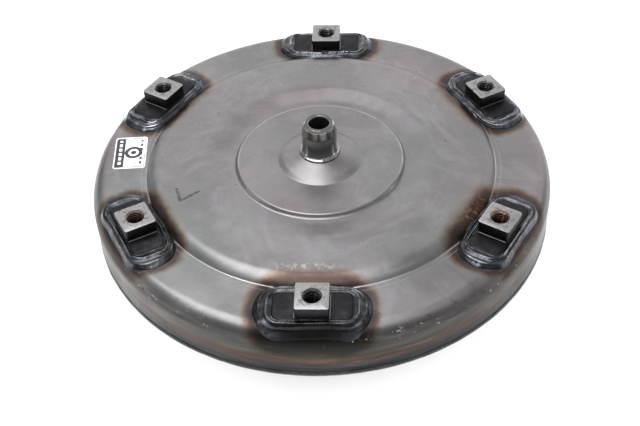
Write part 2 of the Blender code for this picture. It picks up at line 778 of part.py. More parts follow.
def driven_plate():
    """Turned by the damper springs; its inner edge is fixed to the turbine hub."""
    slots = []
    for index in range(SPRINGS):
        middle = math.tau * index / SPRINGS
        outline = []
        for radius, way in ((DAMPER_PIN_CIRCLE - 0.0030, 1), (DAMPER_PIN_CIRCLE + 0.0030, -1)):
            for step in (-1, 0, 1):
                angle = middle + way * step * math.radians(10)
                outline.append((radius * math.cos(angle), radius * math.sin(angle)))
        slots.append(outline)
    shape = [circle(DAMPER_RADIUS, 32), circle(TURBINE_HUB_RADIUS + GAP, SMALL_ROUND)]
    outlines = shape + spring_windows() + slots
    driven = plate("damper_driven_plate", outlines, DRIVEN_LOW, DRIVEN_LOW + DAMPER_PLATE)
    return keep(driven, "sheet_steel", TURBINE)


def damper_drive_plate():
    """The front plate, whose outer teeth carry the piston's torque."""
    shape = [toothed(DRIVE_TOOTH_ROOT, DRIVE_TOOTH_TIP, DRIVE_TEETH, 0.5), circle(0.0340, 24)]
    outlines = shape + spring_windows() + plate_pin_holes()
    front = plate("damper_drive_plate", outlines, FRONT_PLATE_LOW, FRONT_PLATE_LOW + DAMPER_PLATE)
    return keep(front, "sheet_steel", DAMPER)


def damper_rear_plate():
    shape = [circle(DAMPER_RADIUS, 32), circle(TURBINE_FLANGE_RADIUS + 0.0010, 24)]
    outlines = shape + spring_windows() + plate_pin_holes()
    rear = plate("damper_rear_plate", outlines, REAR_PLATE_LOW, REAR_PLATE_LOW + DAMPER_PLATE)
    return keep(rear, "sheet_steel", DAMPER)


def damper_pin(index):
    """A stepped rivet that holds the two drive plates apart, through a slot in the driven plate."""
    low = REAR_PLATE_LOW
    high = FRONT_PLATE_LOW + DAMPER_PLATE
    outline = [
        (0.0, high + 0.0009),
        (0.0027, high + 0.0009),
        (0.0027, high + GAP),
        (0.0015, high + GAP),
        (0.0015, FRONT_PLATE_LOW - GAP),
        (0.0024, FRONT_PLATE_LOW - GAP),
        (0.0024, low + DAMPER_PLATE + GAP),
        (0.0015, low + DAMPER_PLATE + GAP),
        (0.0015, low - GAP),
        (0.0027, low - GAP),
        (0.0027, low - 0.0009),
        (0.0, low - 0.0009),
    ]
    pin = turned(f"damper_pin_{index + 1}", outline, 6)
    return keep(moved(pin, math.tau * index / SPRINGS, DAMPER_PIN_CIRCLE), "machined_steel", DAMPER)


def damper_spring(index):
    """A closed coil along the tangent of the spring circle."""
    curve = bpy.data.curves.new(f"damper_spring_{index + 1}", "CURVE")
    curve.dimensions = "3D"
    curve.bevel_depth = SPRING_WIRE_RADIUS
    curve.bevel_resolution = 0
    curve.use_fill_caps = True
    spline = curve.splines.new("POLY")
    per_turn = 7
    count = SPRING_TURNS * per_turn + 1
    spline.points.add(count - 1)
    travel = SPRING_LENGTH - 2 * SPRING_WIRE_RADIUS
    for step, point in enumerate(spline.points):
        angle = math.tau * step / per_turn
        across = SPRING_CIRCLE + SPRING_COIL_RADIUS * math.cos(angle)
        along = travel * (step / (count - 1) - 0.5)
        point.co = (across, along, SPRING_HEIGHT + SPRING_COIL_RADIUS * math.sin(angle), 1.0)
    obj = bpy.data.objects.new(f"damper_spring_{index + 1}", curve)
    CUTTERS.objects.link(obj)
    coil = shown(applied(obj))
    return keep(moved(coil, math.tau * (index + 0.5) / SPRINGS), "spring_steel", DAMPER)


PISTON_TOP = RING_TOP - COVER_SHEET - CLUTCH_CLEARANCE - LINING_SHEET - GAP
PISTON_CROWN = PISTON_TOP + 0.0025


def lockup_piston():
    outline = [
        (PISTON_BORE, PISTON_CROWN),
        (0.1020, PISTON_CROWN),
        (0.1090, PISTON_TOP),
        (PISTON_RADIUS, PISTON_TOP),
        (PISTON_RADIUS, PISTON_TOP - PISTON_SHEET),
        (0.1080, PISTON_TOP - PISTON_SHEET),
        (0.1010, PISTON_CROWN - PISTON_SHEET),
        (0.0260, PISTON_CROWN - PISTON_SHEET),
        (0.0240, PISTON_CROWN - PISTON_SHEET - 0.0020),
        (PISTON_BORE, PISTON_CROWN - PISTON_SHEET - 0.0020),
    ]
    return keep(turned("lockup_piston", outline, SHELL_ROUND), "sheet_steel", PISTON)


def friction_lining():
    low = PISTON_TOP + GAP
    lining = ring("friction_lining", LINING_INNER, LINING_OUTER, low, low + LINING_SHEET, SHELL_ROUND)
    return keep(lining, "friction_paper", PISTON)


def piston_drive_ring():
    """Riveted under the piston; its inner teeth slide along those of the damper's drive plate."""
    top = PISTON_CROWN - PISTON_SHEET - GAP
    clear = 0.0005
    inside = toothed(DRIVE_TOOTH_ROOT + clear, DRIVE_TOOTH_TIP + clear, DRIVE_TEETH, 0.58)
    drive = plate("piston_drive_ring", [circle(0.0745, 24), inside], FRONT_PLATE_LOW - 0.0004, top)
    return keep(drive, "machined_steel", PISTON)


# ---------------------------------------------------------------- bearings, one-way clutch and stator
REAR_STACK = HUB_FLANGE_TOP + GAP
REAR_CAGE_LOW = REAR_STACK + RACE + GAP
REAR_UPPER_RACE = REAR_CAGE_LOW + NEEDLE_CAGE + GAP
REAR_CAP = REAR_UPPER_RACE + RACE + GAP
CLUTCH_LOW = REAR_CAP + END_CAP + GAP
FRONT_CAP = CLUTCH_LOW + CLUTCH_LENGTH + GAP
FRONT_STACK = FRONT_CAP + END_CAP + GAP
FRONT_CAGE_LOW = FRONT_STACK + RACE + GAP
FRONT_UPPER_RACE = FRONT_CAGE_LOW + NEEDLE_CAGE + GAP


def bearing_race(name, low, axis):
    return keep(ring(name, BEARING_BORE, BEARING_RADIUS, low, low + RACE, 16), "bearing_steel", axis)


def needle_cage(name, low, axis):
    """A flat cage with its needle rollers, which stand proud of it on both sides."""
    needle = turned(
        "needle",
        [(0.0, 0.0050), (NEEDLE_CAGE / 2, 0.0050), (NEEDLE_CAGE / 2, -0.0050), (0.0, -0.0050)],
        6,
    )
    needle.data.transform(Matrix.Rotation(math.pi / 2, 4, "Y"))
    middle = low + NEEDLE_CAGE / 2
    moved(needle, 0.0, (BEARING_BORE + BEARING_RADIUS) / 2, middle)
    needles = copies_in_one("needles", needle, NEEDLES)
    cage = ring(name, BEARING_BORE + 0.0004, BEARING_RADIUS - 0.0002, middle - 0.0006, middle + 0.0006, 20)
    return keep(combined(cage, needles, "UNION"), "bearing_steel", axis)


def one_way_inner_race():
    high = CLUTCH_LOW + CLUTCH_LENGTH
    shape = [circle(INNER_RACE_RADIUS, 24), toothed(INNER_RACE_BORE, INNER_RACE_BORE + 0.0012, 16)]
    return keep(plate("one_way_inner_race", shape, CLUTCH_LOW, high), "bearing_steel", RACE_AXIS)


def one_way_outer_race():
    high = CLUTCH_LOW + CLUTCH_LENGTH
    race = ring("one_way_outer_race", OUTER_RACE_BORE, OUTER_RACE_RADIUS, CLUTCH_LOW, high, 24)
    return keep(race, "bearing_steel", STATOR)


def sprag_cage():
    """The cage of the one-way clutch with its ring of leaning sprags."""
    clear = 0.0005
    low = CLUTCH_LOW + 0.0020
    high = CLUTCH_LOW + CLUTCH_LENGTH - 0.0020
    inner = INNER_RACE_RADIUS + clear
    outer = OUTER_RACE_BORE - clear
    middle = (inner + outer) / 2
    shape = rounded_rectangle(outer - inner - 0.0006, 0.0030, 0.0012, 1)
    sprag = plate("sprag", [shape], low, high)
    sprag.data.transform(Matrix.Rotation(math.radians(14), 4, "Z"))
    moved(sprag, 0.0, middle)
    sprags = copies_in_one("sprags", sprag, SPRAGS)
    cage = ring("sprag_cage", middle - 0.0007, middle + 0.0007, low + 0.0010, high - 0.0010, 22)
    return keep(combined(cage, sprags, "UNION"), "bearing_steel", STATOR)


def stator_cap(name, low):
    cap = ring(name, INNER_RACE_BORE + 0.0030, OUTER_RACE_RADIUS + 0.0040, low, low + END_CAP, 24)
    return keep(cap, "cast_aluminium", STATOR)


def stator_wheel():
    """The cast reactor: a hub, aerofoil blades and a thin outer shroud in one piece."""
    high = CLUTCH_LOW + CLUTCH_LENGTH
    hub = ring("stator_wheel", OUTER_RACE_RADIUS + GAP, STATOR_HUB_RADIUS, CLUTCH_LOW, high, 33)
    shroud_outer = STATOR_SHROUD_RADIUS + STATOR_SHROUD_SHEET
    shroud = ring("shroud", STATOR_SHROUD_RADIUS, shroud_outer, CLUTCH_LOW, high - 0.0010, 33)
    span = STATOR_SHROUD_RADIUS + 0.0009 - (STATOR_HUB_RADIUS - 0.0012)
    aerofoil = [
        (-0.0080, 0.0004),
        (-0.0078, -0.0020),
        (-0.0040, -0.0030),
        (0.0030, 0.0004),
        (0.0080, 0.0062),
        (0.0073, 0.0066),
        (0.0010, 0.0034),
        (-0.0045, 0.0018),
    ]
    one = plate("stator_blade", [aerofoil], 0.0, span)
    upright = Matrix(((0, 0, 1, 0), (0, 1, 0, 0), (-1, 0, 0, 0), (0, 0, 0, 1)))
    one.data.transform(upright)
    moved(one, 0.0, STATOR_HUB_RADIUS - 0.0012, (CLUTCH_LOW + high) / 2)
    blades = copies_in_one("stator_blades", one, STATOR_BLADES)
    wheel = combined(hub, blades, "UNION")
    return keep(combined(wheel, shroud, "UNION"), "cast_aluminium", STATOR)


# ---------------------------------------------------------------- the converter
def build_housing():
    front_cover()
    pilot_hub()
    for index in range(LUG_COUNT):
        mounting_lug(index)
        lug_weld(index)
    closing_weld()
    impeller_shell()
    impeller_hub()
    hub_weld()
    balance_weight(1, math.radians(20))
    balance_weight(2, math.radians(74))
    impeller_blades()
    bearing_race("rear_bearing_race", REAR_STACK, HOUSING)


def build_turbine():
    turbine_shell()
    turbine_blades()
    turbine_hub()
    for index in range(RIVETS):
        turbine_rivet(index)
    piston_seal()
    turbine_thrust_washer()
    driven_plate()
    bearing_race("front_bearing_race", FRONT_UPPER_RACE, TURBINE)


def build_lockup_clutch():
    damper_drive_plate()
    damper_rear_plate()
    for index in range(SPRINGS):
        damper_pin(index)
        damper_spring(index)
    lockup_piston()
    friction_lining()
    piston_drive_ring()


def build_stator():
    needle_cage("rear_bearing_needles", REAR_CAGE_LOW, REAR_CAGE)
    needle_cage("front_bearing_needles", FRONT_CAGE_LOW, FRONT_CAGE)
    bearing_race("stator_rear_race", REAR_UPPER_RACE, STATOR)
    bearing_race("stator_front_race", FRONT_STACK, STATOR)
    one_way_inner_race()
    one_way_outer_race()
    sprag_cage()
    stator_cap("stator_rear_cap", REAR_CAP)
    stator_cap("stator_front_cap", FRONT_CAP)
    stator_wheel()


build_housing()
build_turbine()
build_lockup_clutch()
build_stator()
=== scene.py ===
"""The looks of a welded torque converter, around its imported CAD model.

Metres, +Z up, in the CAD's own frame: the impeller hub stands on the floor at Z = 0 and the front cover,
with its pilot and six welded lugs, is on top.
"""

import math

import bmesh
import bpy
import numpy as np
from mathutils import Matrix, Vector, noise


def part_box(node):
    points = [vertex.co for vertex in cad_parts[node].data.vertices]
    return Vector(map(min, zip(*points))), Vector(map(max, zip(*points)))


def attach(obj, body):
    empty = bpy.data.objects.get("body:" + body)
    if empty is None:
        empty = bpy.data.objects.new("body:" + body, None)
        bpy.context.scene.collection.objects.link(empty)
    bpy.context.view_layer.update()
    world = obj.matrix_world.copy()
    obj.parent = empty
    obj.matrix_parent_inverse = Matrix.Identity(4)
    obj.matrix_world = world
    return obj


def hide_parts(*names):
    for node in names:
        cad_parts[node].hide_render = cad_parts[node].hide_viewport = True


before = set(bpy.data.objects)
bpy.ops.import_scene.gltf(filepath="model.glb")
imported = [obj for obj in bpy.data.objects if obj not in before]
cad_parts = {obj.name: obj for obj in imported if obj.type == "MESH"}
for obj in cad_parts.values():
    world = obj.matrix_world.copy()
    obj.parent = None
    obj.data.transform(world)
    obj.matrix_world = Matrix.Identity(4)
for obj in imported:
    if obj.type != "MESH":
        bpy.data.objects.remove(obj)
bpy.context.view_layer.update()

# ---------------------------------------------------------------- sizes: boxes from the frame, then details
LUG_COUNT = 6
LUG_CIRCLE_RADIUS = 0.130
FIRST_LUG_ANGLE = math.radians(86.3)
LUG_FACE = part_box("mounting_lug_1")[1].z
BODY_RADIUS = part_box("front_cover")[1].x
COVER_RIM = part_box("front_cover")[0].z
PILOT_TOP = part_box("pilot_hub")[1].z
PILOT_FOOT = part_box("pilot_hub")[0].z
COVER_SHEET = 0.0038
PLATEAU_TOP = LUG_FACE - 0.0072
PLATEAU_EDGE = 0.1050
PLATEAU_BEND = 0.0132
PLATEAU_ROLL = 51               # degrees of roll, which ends in a crease on the lug ring
STEP_FOOT = PLATEAU_EDGE + PLATEAU_BEND * math.sin(math.radians(PLATEAU_ROLL))
RING_TOP = LUG_FACE - 0.0121
DISC_TOP = LUG_FACE - 0.0080
VALLEY_FLOOR = LUG_FACE - 0.0105
VALLEY_EDGE = 0.0750
DISC_RADIUS = 0.0549
DISC_FLAT_RADIUS = 0.0279
DOME_RADIUS = 0.0256
DOME_EDGE = LUG_FACE - 0.0052
SHOULDER = 0.0103

LUG_BLOCK = 0.0202              # along the plate
LUG_BLOCK_DEPTH = 0.0206        # across it
LUG_PLATE_LENGTH = 0.0473
LUG_PLATE_CORNER = 0.0042
LUG_PLATE_TOP = LUG_FACE - 0.0088
LUG_HOLE_RADIUS = 0.0044
LUG_CHAMFER_RADIUS = 0.0060
THREAD_PITCH = 0.0015
THREAD_DEPTH = 0.0009
WELD_LENGTH = 0.0690
WELD_WIDTH = 0.0328
WELD_CORNER = 0.0155

PILOT_RADIUS = 0.0113
PILOT_TIP_RADIUS = 0.0101
PILOT_BORE_RADIUS = 0.0065
PILOT_COLLAR_RADIUS = 0.0131
PILOT_ROOT_RADIUS = 0.0180

TORUS_RADIUS = 0.101            # to the middle of the impeller shell's bowl
IMPELLER_MID = LUG_FACE - 0.0460
IMPELLER_REACH = 0.0457
IMPELLER_DEPTH = 0.0300
IMPELLER_SHEET = 0.0035
IMPELLER_BLADES = 19
HUB_RADIUS = 0.0240
HUB_BORE_RADIUS = 0.0205
HUB_FLANGE_RADIUS = 0.0380
HUB_FLANGE_LOW = IMPELLER_MID - 0.0215
HUB_FLANGE_TOP = IMPELLER_MID - 0.0170
PUMP_SLOT_WIDTH = 0.0125
PUMP_SLOT_DEPTH = 0.0100

TURNS = 380                     # facets round the big turned pieces
SHARP_EDGE = 40                 # degrees; a gentler edge is shaded smooth
CUT_EDGE = 34                   # the same for pieces that were cut out of others
BEAD_EDGE = 60                  # and for weld beads and paint
GOLDEN_ANGLE = 2.39996          # radians; scatters the drops of spatter evenly
SPATTER_DROPS = 46
CLUSTER_DROPS = 9
TINY = 1e-9                     # keeps a division from being by nothing


# ---------------------------------------------------------------- mesh building
def wave(x, y, z, size, seed=0.0):
    """Smooth noise from -1 to 1 whose bumps are about this size across."""
    return noise.noise(Vector((x / size + 17.3 * seed, y / size - 5.1 * seed, z / size + 2.7 * seed)))


def bell(value, middle, half, power=2):
    """1 at the middle, falling away on both sides; a higher power gives it a flatter top."""
    return math.exp(-(((value - middle) / half) ** power))


def clamped(value):
    return max(0.0, min(1.0, value))


def on_circle(radius, angle):
    return Vector((radius * math.cos(angle), radius * math.sin(angle)))


def linked(name, data):
    """A new object in the scene."""
    obj = bpy.data.objects.new(name, data)
    bpy.context.scene.collection.objects.link(obj)
    return obj


def shaded(mesh, angle):
    """Smooth shading; an edge sharper than this many degrees stays sharp."""
    mesh.shade_smooth()
    mesh.set_sharp_from_angle(angle=math.radians(angle))


def add_values(mesh, values):
    """Numbers for the finishes to read, one for each point of the mesh."""
    for name, numbers in values.items():
        layer = mesh.attributes.new(name, "FLOAT", "POINT")
        layer.data.foreach_set("value", np.array(numbers, np.float32))


def new_object(name, points, faces, material, smooth=SHARP_EDGE):
    """A mesh object; smooth is the angle in degrees above which an edge stays sharp."""
    mesh = bpy.data.meshes.new(name)
    mesh.from_pydata([tuple(point) for point in points], [], faces)
    edit = bmesh.new()
    edit.from_mesh(mesh)
    bmesh.ops.remove_doubles(edit, verts=edit.verts, dist=0.0000004)
    bmesh.ops.recalc_face_normals(edit, faces=edit.faces)
    edit.to_mesh(mesh)
    edit.free()
    mesh.materials.append(material)
    shaded(mesh, smooth)
    return linked(name, mesh)


def stands_for(obj, slot, *nodes, body="housing"):
    """The piece rides on the body and replaces those CAD nodes, which it hides; the slot argument is not
    used.
    """
    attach(obj, body)
    if nodes:
        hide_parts(*nodes)
    return obj


def filleted(corners, step=0.0010):
    """An outline through (radius, height, fillet) corners with round corners, cut into short runs."""
    points = []
    straight = math.radians(89.5)
    most = 0.49                 # of a run can go into the fillet at each of its ends
    for index, (x, y, fillet) in enumerate(corners):
        here = Vector((x, y))
        before = Vector(corners[index - 1][:2]) - here
        after = Vector(corners[(index + 1) % len(corners)][:2]) - here
        half = before.angle(after) / 2 if fillet > 0 else 0.0
        if fillet <= 0 or half > straight:
            points.append(here)
            continue
        reach = min(fillet / math.tan(half), most * before.length, most * after.length)
        radius = reach * math.tan(half)
        start = here + before.normalized() * reach
        end = here + after.normalized() * reach
        centre = here + (before.normalized() + after.normalized()).normalized() * (radius / math.sin(half))
        sweep = (start - centre).angle(end - centre)
        count = max(4, math.ceil(radius * sweep / step), math.ceil(sweep / math.radians(8)))
        turn = (start - centre).angle_signed(end - centre)
        for number in range(count + 1):
            arm = start - centre
            arm.rotate(Matrix.Rotation(-turn * number / count, 2))
            points.append(centre + arm)
    return points


def moved(corners, radius, height):
    """Outline corners measured from this radius and height, as corners from the origin."""
    return [(x + radius, y + height, fillet) for x, y, fillet in corners]


def arc(centre, radius, start, end, count):
    """Outline corners round an arc, from one angle in degrees to another."""
    angles = [math.radians(start + (end - start) * step / count) for step in range(count + 1)]
    return [(centre[0] + radius * math.cos(a), centre[1] + radius * math.sin(a), 0.0) for a in angles]


def divided(points, step=0.0020, closed=True):
    """The same outline with no run longer than step."""
    result = []
    count = len(points)
    for index in range(count if closed else count - 1):
        start, end = points[index], points[(index + 1) % count]
        runs = max(1, math.ceil((end - start).length / step))
        result += [start.lerp(end, number / runs) for number in range(runs)]
    return result if closed else result + [points[-1]]


def turned(name, outline, material, facets=TURNS, push=None, smooth=SHARP_EDGE):
    """A solid of revolution of a closed outline; push(radius, angle, height) moves each point a little."""
    points = []
    for number in range(facets):
        angle = math.tau * number / facets
        for place in outline:
            radius, height = place
            if push:
                radius, height = push(radius, angle, height)
            points.append((radius * math.cos(angle), radius * math.sin(angle), height))
    count = len(outline)
    faces = []
    for number in range(facets):
        start, after = number * count, (number + 1) % facets * count
        for index in range(count):
            following = (index + 1) % count
            faces.append((start + index, after + index, after + following, start + following))
    return new_object(name, points, faces, material, smooth)


def applied(obj):
    """The object with its modifiers made part of its mesh."""
    bpy.context.view_layer.update()
    graph = bpy.context.evaluated_depsgraph_get()
    mesh = bpy.data.meshes.new_from_object(obj.evaluated_get(graph))
    obj.modifiers.clear()
    obj.data = mesh
    return obj


def combined(obj, other, operation):
    """The object joined with, or cut by, the other one, which goes away."""
    boolean = obj.modifiers.new(operation.lower(), "BOOLEAN")
    boolean.operation = operation
    boolean.object = other
    applied(obj)
    bpy.data.objects.remove(other, do_unlink=True)
    return obj


def bevelled(obj, width, segments=2):
    """Rounds the object's sharp edges."""
    bevel = obj.modifiers.new("bevel", "BEVEL")
    bevel.width = width
    bevel.segments = segments
    bevel.limit_method = "ANGLE"
    bevel.angle_limit = math.radians(SHARP_EDGE)
    shaded(applied(obj).data, SHARP_EDGE)
    return obj


def rounded_rectangle(length, width, corner, around=12, along=44, across=14):
    """Points round a rectangle, length along X. Two of these with the same counts match point by point."""
    points = []
    for quarter, (sx, sy) in enumerate(((1, 1), (-1, 1), (-1, -1), (1, -1))):
        middle = Vector((sx * (length / 2 - corner), sy * (width / 2 - corner)))
        for number in range(around):
            angle = math.pi / 2 * (quarter + number / around)
            points.append(middle + corner * Vector((math.cos(angle), math.sin(angle))))
        cosine, sine = math.cos(math.pi / 2 * quarter), math.sin(math.pi / 2 * quarter)
        start = middle + corner * Vector((-sine, cosine))
        run = (length if quarter % 2 == 0 else width) - 2 * corner
        count = along if quarter % 2 == 0 else across
        way = Vector((-cosine, -sine))
        points += [start + way * run * number / count for number in range(count)]
    return points


def tube_faces(rings, count):
    """Faces of a tube through rings of this many points, with a cap at each end."""
    last = (rings - 1) * count
    faces = [tuple(range(count)), tuple(range(last, last + count))]
    for start in range(0, last, count):
        for number in range(count):
            here, beside = start + number, start + (number + 1) % count
            faces.append((here, beside, beside + count, here + count))
    return faces


def prism(name, outline, low, high, material):
    """A flat plate of this outline, standing between two heights."""
    points = [(x, y, height) for height in (low, high) for x, y in outline]
    return new_object(name, points, tube_faces(2, len(outline)), material)



# ---------------------------------------------------------------- node materials
class Value:
    """A node's output. Arithmetic on it, and each of its methods, adds a node and gives its output."""

    def __init__(self, look, socket):
        self.look = look
        self.socket = socket

    def __add__(self, other):
        return self.look.math("ADD", self, other)

    def __sub__(self, other):
        return self.look.math("SUBTRACT", self, other)

    def __rsub__(self, other):
        return self.look.math("SUBTRACT", other, self)

    def __mul__(self, other):
        return self.look.math("MULTIPLY", self, other)

    def __truediv__(self, other):
        return self.look.math("DIVIDE", self, other)

    def __gt__(self, other):
        return self.look.math("GREATER_THAN", self, other)

    def __lt__(self, other):
        return self.look.math("LESS_THAN", self, other)

    def __abs__(self):
        return self.look.math("ABSOLUTE", self)

    def at_most(self, limit):
        return self.look.math("MINIMUM", self, limit)

    def span(self, low, high, to_low=0.0, to_high=1.0):
        """The value mapped from one range to another, and held at its ends."""
        return self.look.add("MapRange", enumerate((self, low, high, to_low, to_high)), clamp=True)

    def near(self, middle, reach):
        """1 where the value is at the middle, falling to 0 at the reach on either side."""
        return abs(self - middle).span(0.0, reach, 1.0, 0.0)

    def ramp(self, *stops):
        """Colours along the value; each stop is a place and then red, green and blue, or a grey."""
        made = self.look.node("ValToRGB", {"Fac": self})
        elements = made.color_ramp.elements
        elements.remove(elements[1])
        for number, (place, *colour) in enumerate(stops):
            element = elements.new(place) if number else elements[0]
            element.position = place
            element.color = (*(colour if len(colour) == 3 else colour * 3), 1.0)
        return Value(self.look, made.outputs["Color"])


class Finish:
    """A node material, with the colour, roughness and normal that it has so far."""

    def __init__(self, name, metallic=1.0):
        self.material = bpy.data.materials.new(name)
        self.material.use_nodes = True
        self.tree = self.material.node_tree
        self.shader = self.tree.nodes["Principled BSDF"]
        self.shader.inputs["Metallic"].default_value = metallic
        self.place = self.add("TexCoord", output="Object")
        self.colour = self.rough = self.normal = None

    def node(self, kind, inputs, **settings):
        made = self.tree.nodes.new("ShaderNode" + kind)
        for key, value in settings.items():
            setattr(made, key, value)
        for key, value in inputs.items():
            self.set(made.inputs[key], value)
        return made

    def add(self, kind, inputs=(), output=0, **settings):
        return Value(self, self.node(kind, dict(inputs), **settings).outputs[output])

    def set(self, socket, value):
        if isinstance(value, Value):
            self.tree.links.new(value.socket, socket)
        elif socket.type == "RGBA":
            socket.default_value = (*value[:3], 1.0)
        else:
            socket.default_value = value

    def math(self, operation, *values, clamp=False):
        return self.add("Math", enumerate(values), operation=operation, use_clamp=clamp)

    def highest(self, result, *others):
        for value in others:
            result = self.math("MAXIMUM", result, value)
        return result

    def noise(self, scale, detail=3.0, rough=0.5, vector=None, warp=0.0):
        inputs = {"Vector": vector or self.place, "Scale": scale, "Detail": detail}
        return self.add("TexNoise", {**inputs, "Roughness": rough, "Distortion": warp}, "Fac")

    def sway(self, scale, size, detail=4.0, rough=0.6):
        """Noise from -size/2 to size/2, to make an edge ragged."""
        return (self.noise(scale, detail, rough) - 0.5) * size

    def cells(self, scale):
        return self.add("TexVoronoi", {"Vector": self.place, "Scale": scale}, "Distance")

    def attribute(self, name):
        return self.add("Attribute", output="Fac", attribute_name=name)

    def stretched(self, scale, turn=0.0):
        """Coordinates turned by this many degrees about Z, then scaled along the turned axes."""
        sizes = tuple(1.0 / value for value in scale)
        inputs = {"Vector": self.place, "Scale": sizes, "Rotation": (0.0, 0.0, math.radians(turn))}
        return self.add("Mapping", inputs, vector_type="TEXTURE")

    def axis(self, name, vector=None):
        return self.add("SeparateXYZ", {0: vector or self.place}, name)

    def radius(self):
        flat = self.add("VectorMath", {0: self.place, 1: (1.0, 1.0, 0.0)}, operation="MULTIPLY")
        return self.add("VectorMath", {0: flat}, "Value", operation="LENGTH")

    def facing(self, axis):
        """How far the surface faces along an axis, from -1 to 1."""
        return self.axis(axis, self.add("NewGeometry", output="Normal"))

    def wrapped(self, around, up):
        """Coordinates that run round the Z axis and up it, for streaks that follow a turned wall."""
        angle = self.math("ARCTAN2", self.axis("Y"), self.axis("X"))
        x, y = (self.math(operation, angle) * around for operation in ("COSINE", "SINE"))
        return self.add("CombineXYZ", {"X": x, "Y": y, "Z": self.axis("Z") * up})

    def scratches(self, turn, fine=300.0, stretch=9.0, width=0.012):
        """Short thin lines: where a drawn-out noise crosses its middle, in scattered patches."""
        drawn = self.noise(1.0, 1.0, 0.4, self.stretched((fine, fine / stretch, fine), turn))
        patches = self.noise(70.0, 2.0, 0.6, self.stretched((1.0, 0.6, 1.0), turn))
        return drawn.near(0.5, width) * patches.span(0.60, 0.66)

    def mix(self, factor, a, b, blend="MIX"):
        return self.add("Mix", {"Factor": factor, 6: a, 7: b}, 2, data_type="RGBA", blend_type=blend)

    def coat(self, share, colour):
        """Covers this share of the colour so far with another."""
        self.colour = self.mix(share, self.colour, colour)

    def tint(self, colour):
        """Multiplies the colour so far by another."""
        self.colour = self.mix(1.0, self.colour, colour, "MULTIPLY")

    def tones(self, stops, *noise, **more):
        """Colours that follow a noise of these settings."""
        return self.noise(*noise, **more).ramp(*stops)

    def uneven(self, low, high, *noise):
        """Roughness that wanders between two values."""
        self.rough = self.noise(*noise).span(*MIDDLE_NOISE, low, high)

    def bump(self, height, distance, strength=0.5):
        """Relief on top of what the finish has so far; the distance is in metres."""
        inputs = {"Height": height, "Distance": distance, "Strength": strength}
        if self.normal:
            inputs["Normal"] = self.normal
        self.normal = self.add("Bump", inputs)

    def done(self):
        self.set(self.shader.inputs["Base Color"], self.colour)
        self.set(self.shader.inputs["Roughness"], self.rough)
        if self.normal:
            self.set(self.shader.inputs["Normal"], self.normal)
        return self.material


MIDDLE_NOISE = (0.3, 0.7)       # most of a noise lies between these
# Tones of the finishes: a place along the noise, then red, green and blue.
STEEL = [(0.30, 0.262, 0.249, 0.258), (0.50, 0.315, 0.301, 0.312), (0.70, 0.380, 0.366, 0.379)]
SHELL_STEEL = [(0.32, 0.20, 0.192, 0.195), (0.52, 0.26, 0.25, 0.255), (0.70, 0.32, 0.31, 0.315)]
TURNED_STEEL = [(0.30, 0.36, 0.355, 0.35), (0.52, 0.42, 0.415, 0.41), (0.72, 0.50, 0.495, 0.49)]
FORGING_SKIN = [(0.30, 0.026, 0.026, 0.029), (0.52, 0.038, 0.038, 0.042), (0.72, 0.062, 0.063, 0.068)]
MILLED = [(0.30, 0.30, 0.295, 0.30), (0.50, 0.43, 0.42, 0.43), (0.70, 0.57, 0.56, 0.57)]
OXIDE = [(0.30, 0.045, 0.048, 0.056), (0.50, 0.105, 0.110, 0.126), (0.68, 0.205, 0.212, 0.235)]
RUST = [(0.35, 0.060, 0.032, 0.028), (0.55, 0.12, 0.068, 0.046), (0.70, 0.34, 0.205, 0.105)]
PAINT = [(0.35, 0.035, 0.025, 0.028), (0.55, 0.075, 0.055, 0.058), (0.75, 0.20, 0.17, 0.17)]


def cover_finish():
    """Bare pressed steel: smudged, scuffed, and coloured by the heat of the welds, with painted shade on
    its wall and beside the welds, and painted highlights along two edges.
    """
    look = Finish("cover_steel")
    height = look.axis("Z")
    streaks = look.noise(22.0, 5.0, 0.7, look.wrapped(0.15, 9.0))
    bare_steel(look)
    wall_streaks_and_painted_shade(look, height, streaks)
    weld_heat_and_shade(look)
    soot_and_shade = look.attribute("soot_and_shade") * look.noise(60.0, 3.0).span(0.25, 0.6, 0.80, 1.0)
    look.coat(soot_and_shade.at_most(0.95), (0.014, 0.014, 0.012))
    rust = look.attribute("rust") * look.noise(260.0, 5.0, 0.7).span(0.36, 0.52)
    look.coat(rust, look.tones(RUST, 420.0, 3.0))
    look.tint(closing_heat(height, streaks))
    scratch, dings = handling_marks(look, height)
    shoulder_marks(look, height)
    # Painted highlights: light lines along the disc's edge and the step's crease.
    edge_highlight = painted_edge_highlights(look)
    look.coat(edge_highlight, (0.74, 0.73, 0.74))
    look.uneven(0.31, 0.45, 30.0, 4.0, 0.6)
    look.rough = look.rough + rust * 0.35 + soot_and_shade * 0.10 - edge_highlight * 0.12
    look.bump(look.noise(900.0, 2.0, 0.6), 0.00002)
    look.bump(look.noise(170.0, 3.0, 0.5), 0.00008)
    look.bump(scratch - dings, 0.00004)
    look.bump(look.noise(500.0, 4.0, 0.7) * rust, 0.0006, 1.0)
    return look.done()


def bare_steel(look):
    """Cloudy grey with faint pink and green casts, dull stains and light smears from handling."""
    look.colour = look.tones(STEEL, 15.0, 5.0, 0.62)
    cast = look.noise(8.0, 3.0, 0.6, look.stretched((1.0, 1.0, 1.0), 71.0))
    look.tint(cast.ramp((0.36, 0.94, 1.0, 0.97), (0.50, 1.0), (0.64, 1.04, 0.975, 0.985)))
    stains = look.noise(42.0, 5.0, 0.7, warp=0.8)
    look.coat(stains.span(0.48, 0.72, 0.0, 0.40), (0.215, 0.207, 0.203))
    for turn, least in ((35.0, 0.53), (-52.0, 0.56)):
        smear = look.noise(24.0, 6.0, 0.74, look.stretched((1.0, 0.60, 1.0), turn), 1.2)
        look.coat(smear.span(least, least + 0.18, 0.0, 0.50), (0.455, 0.443, 0.455))


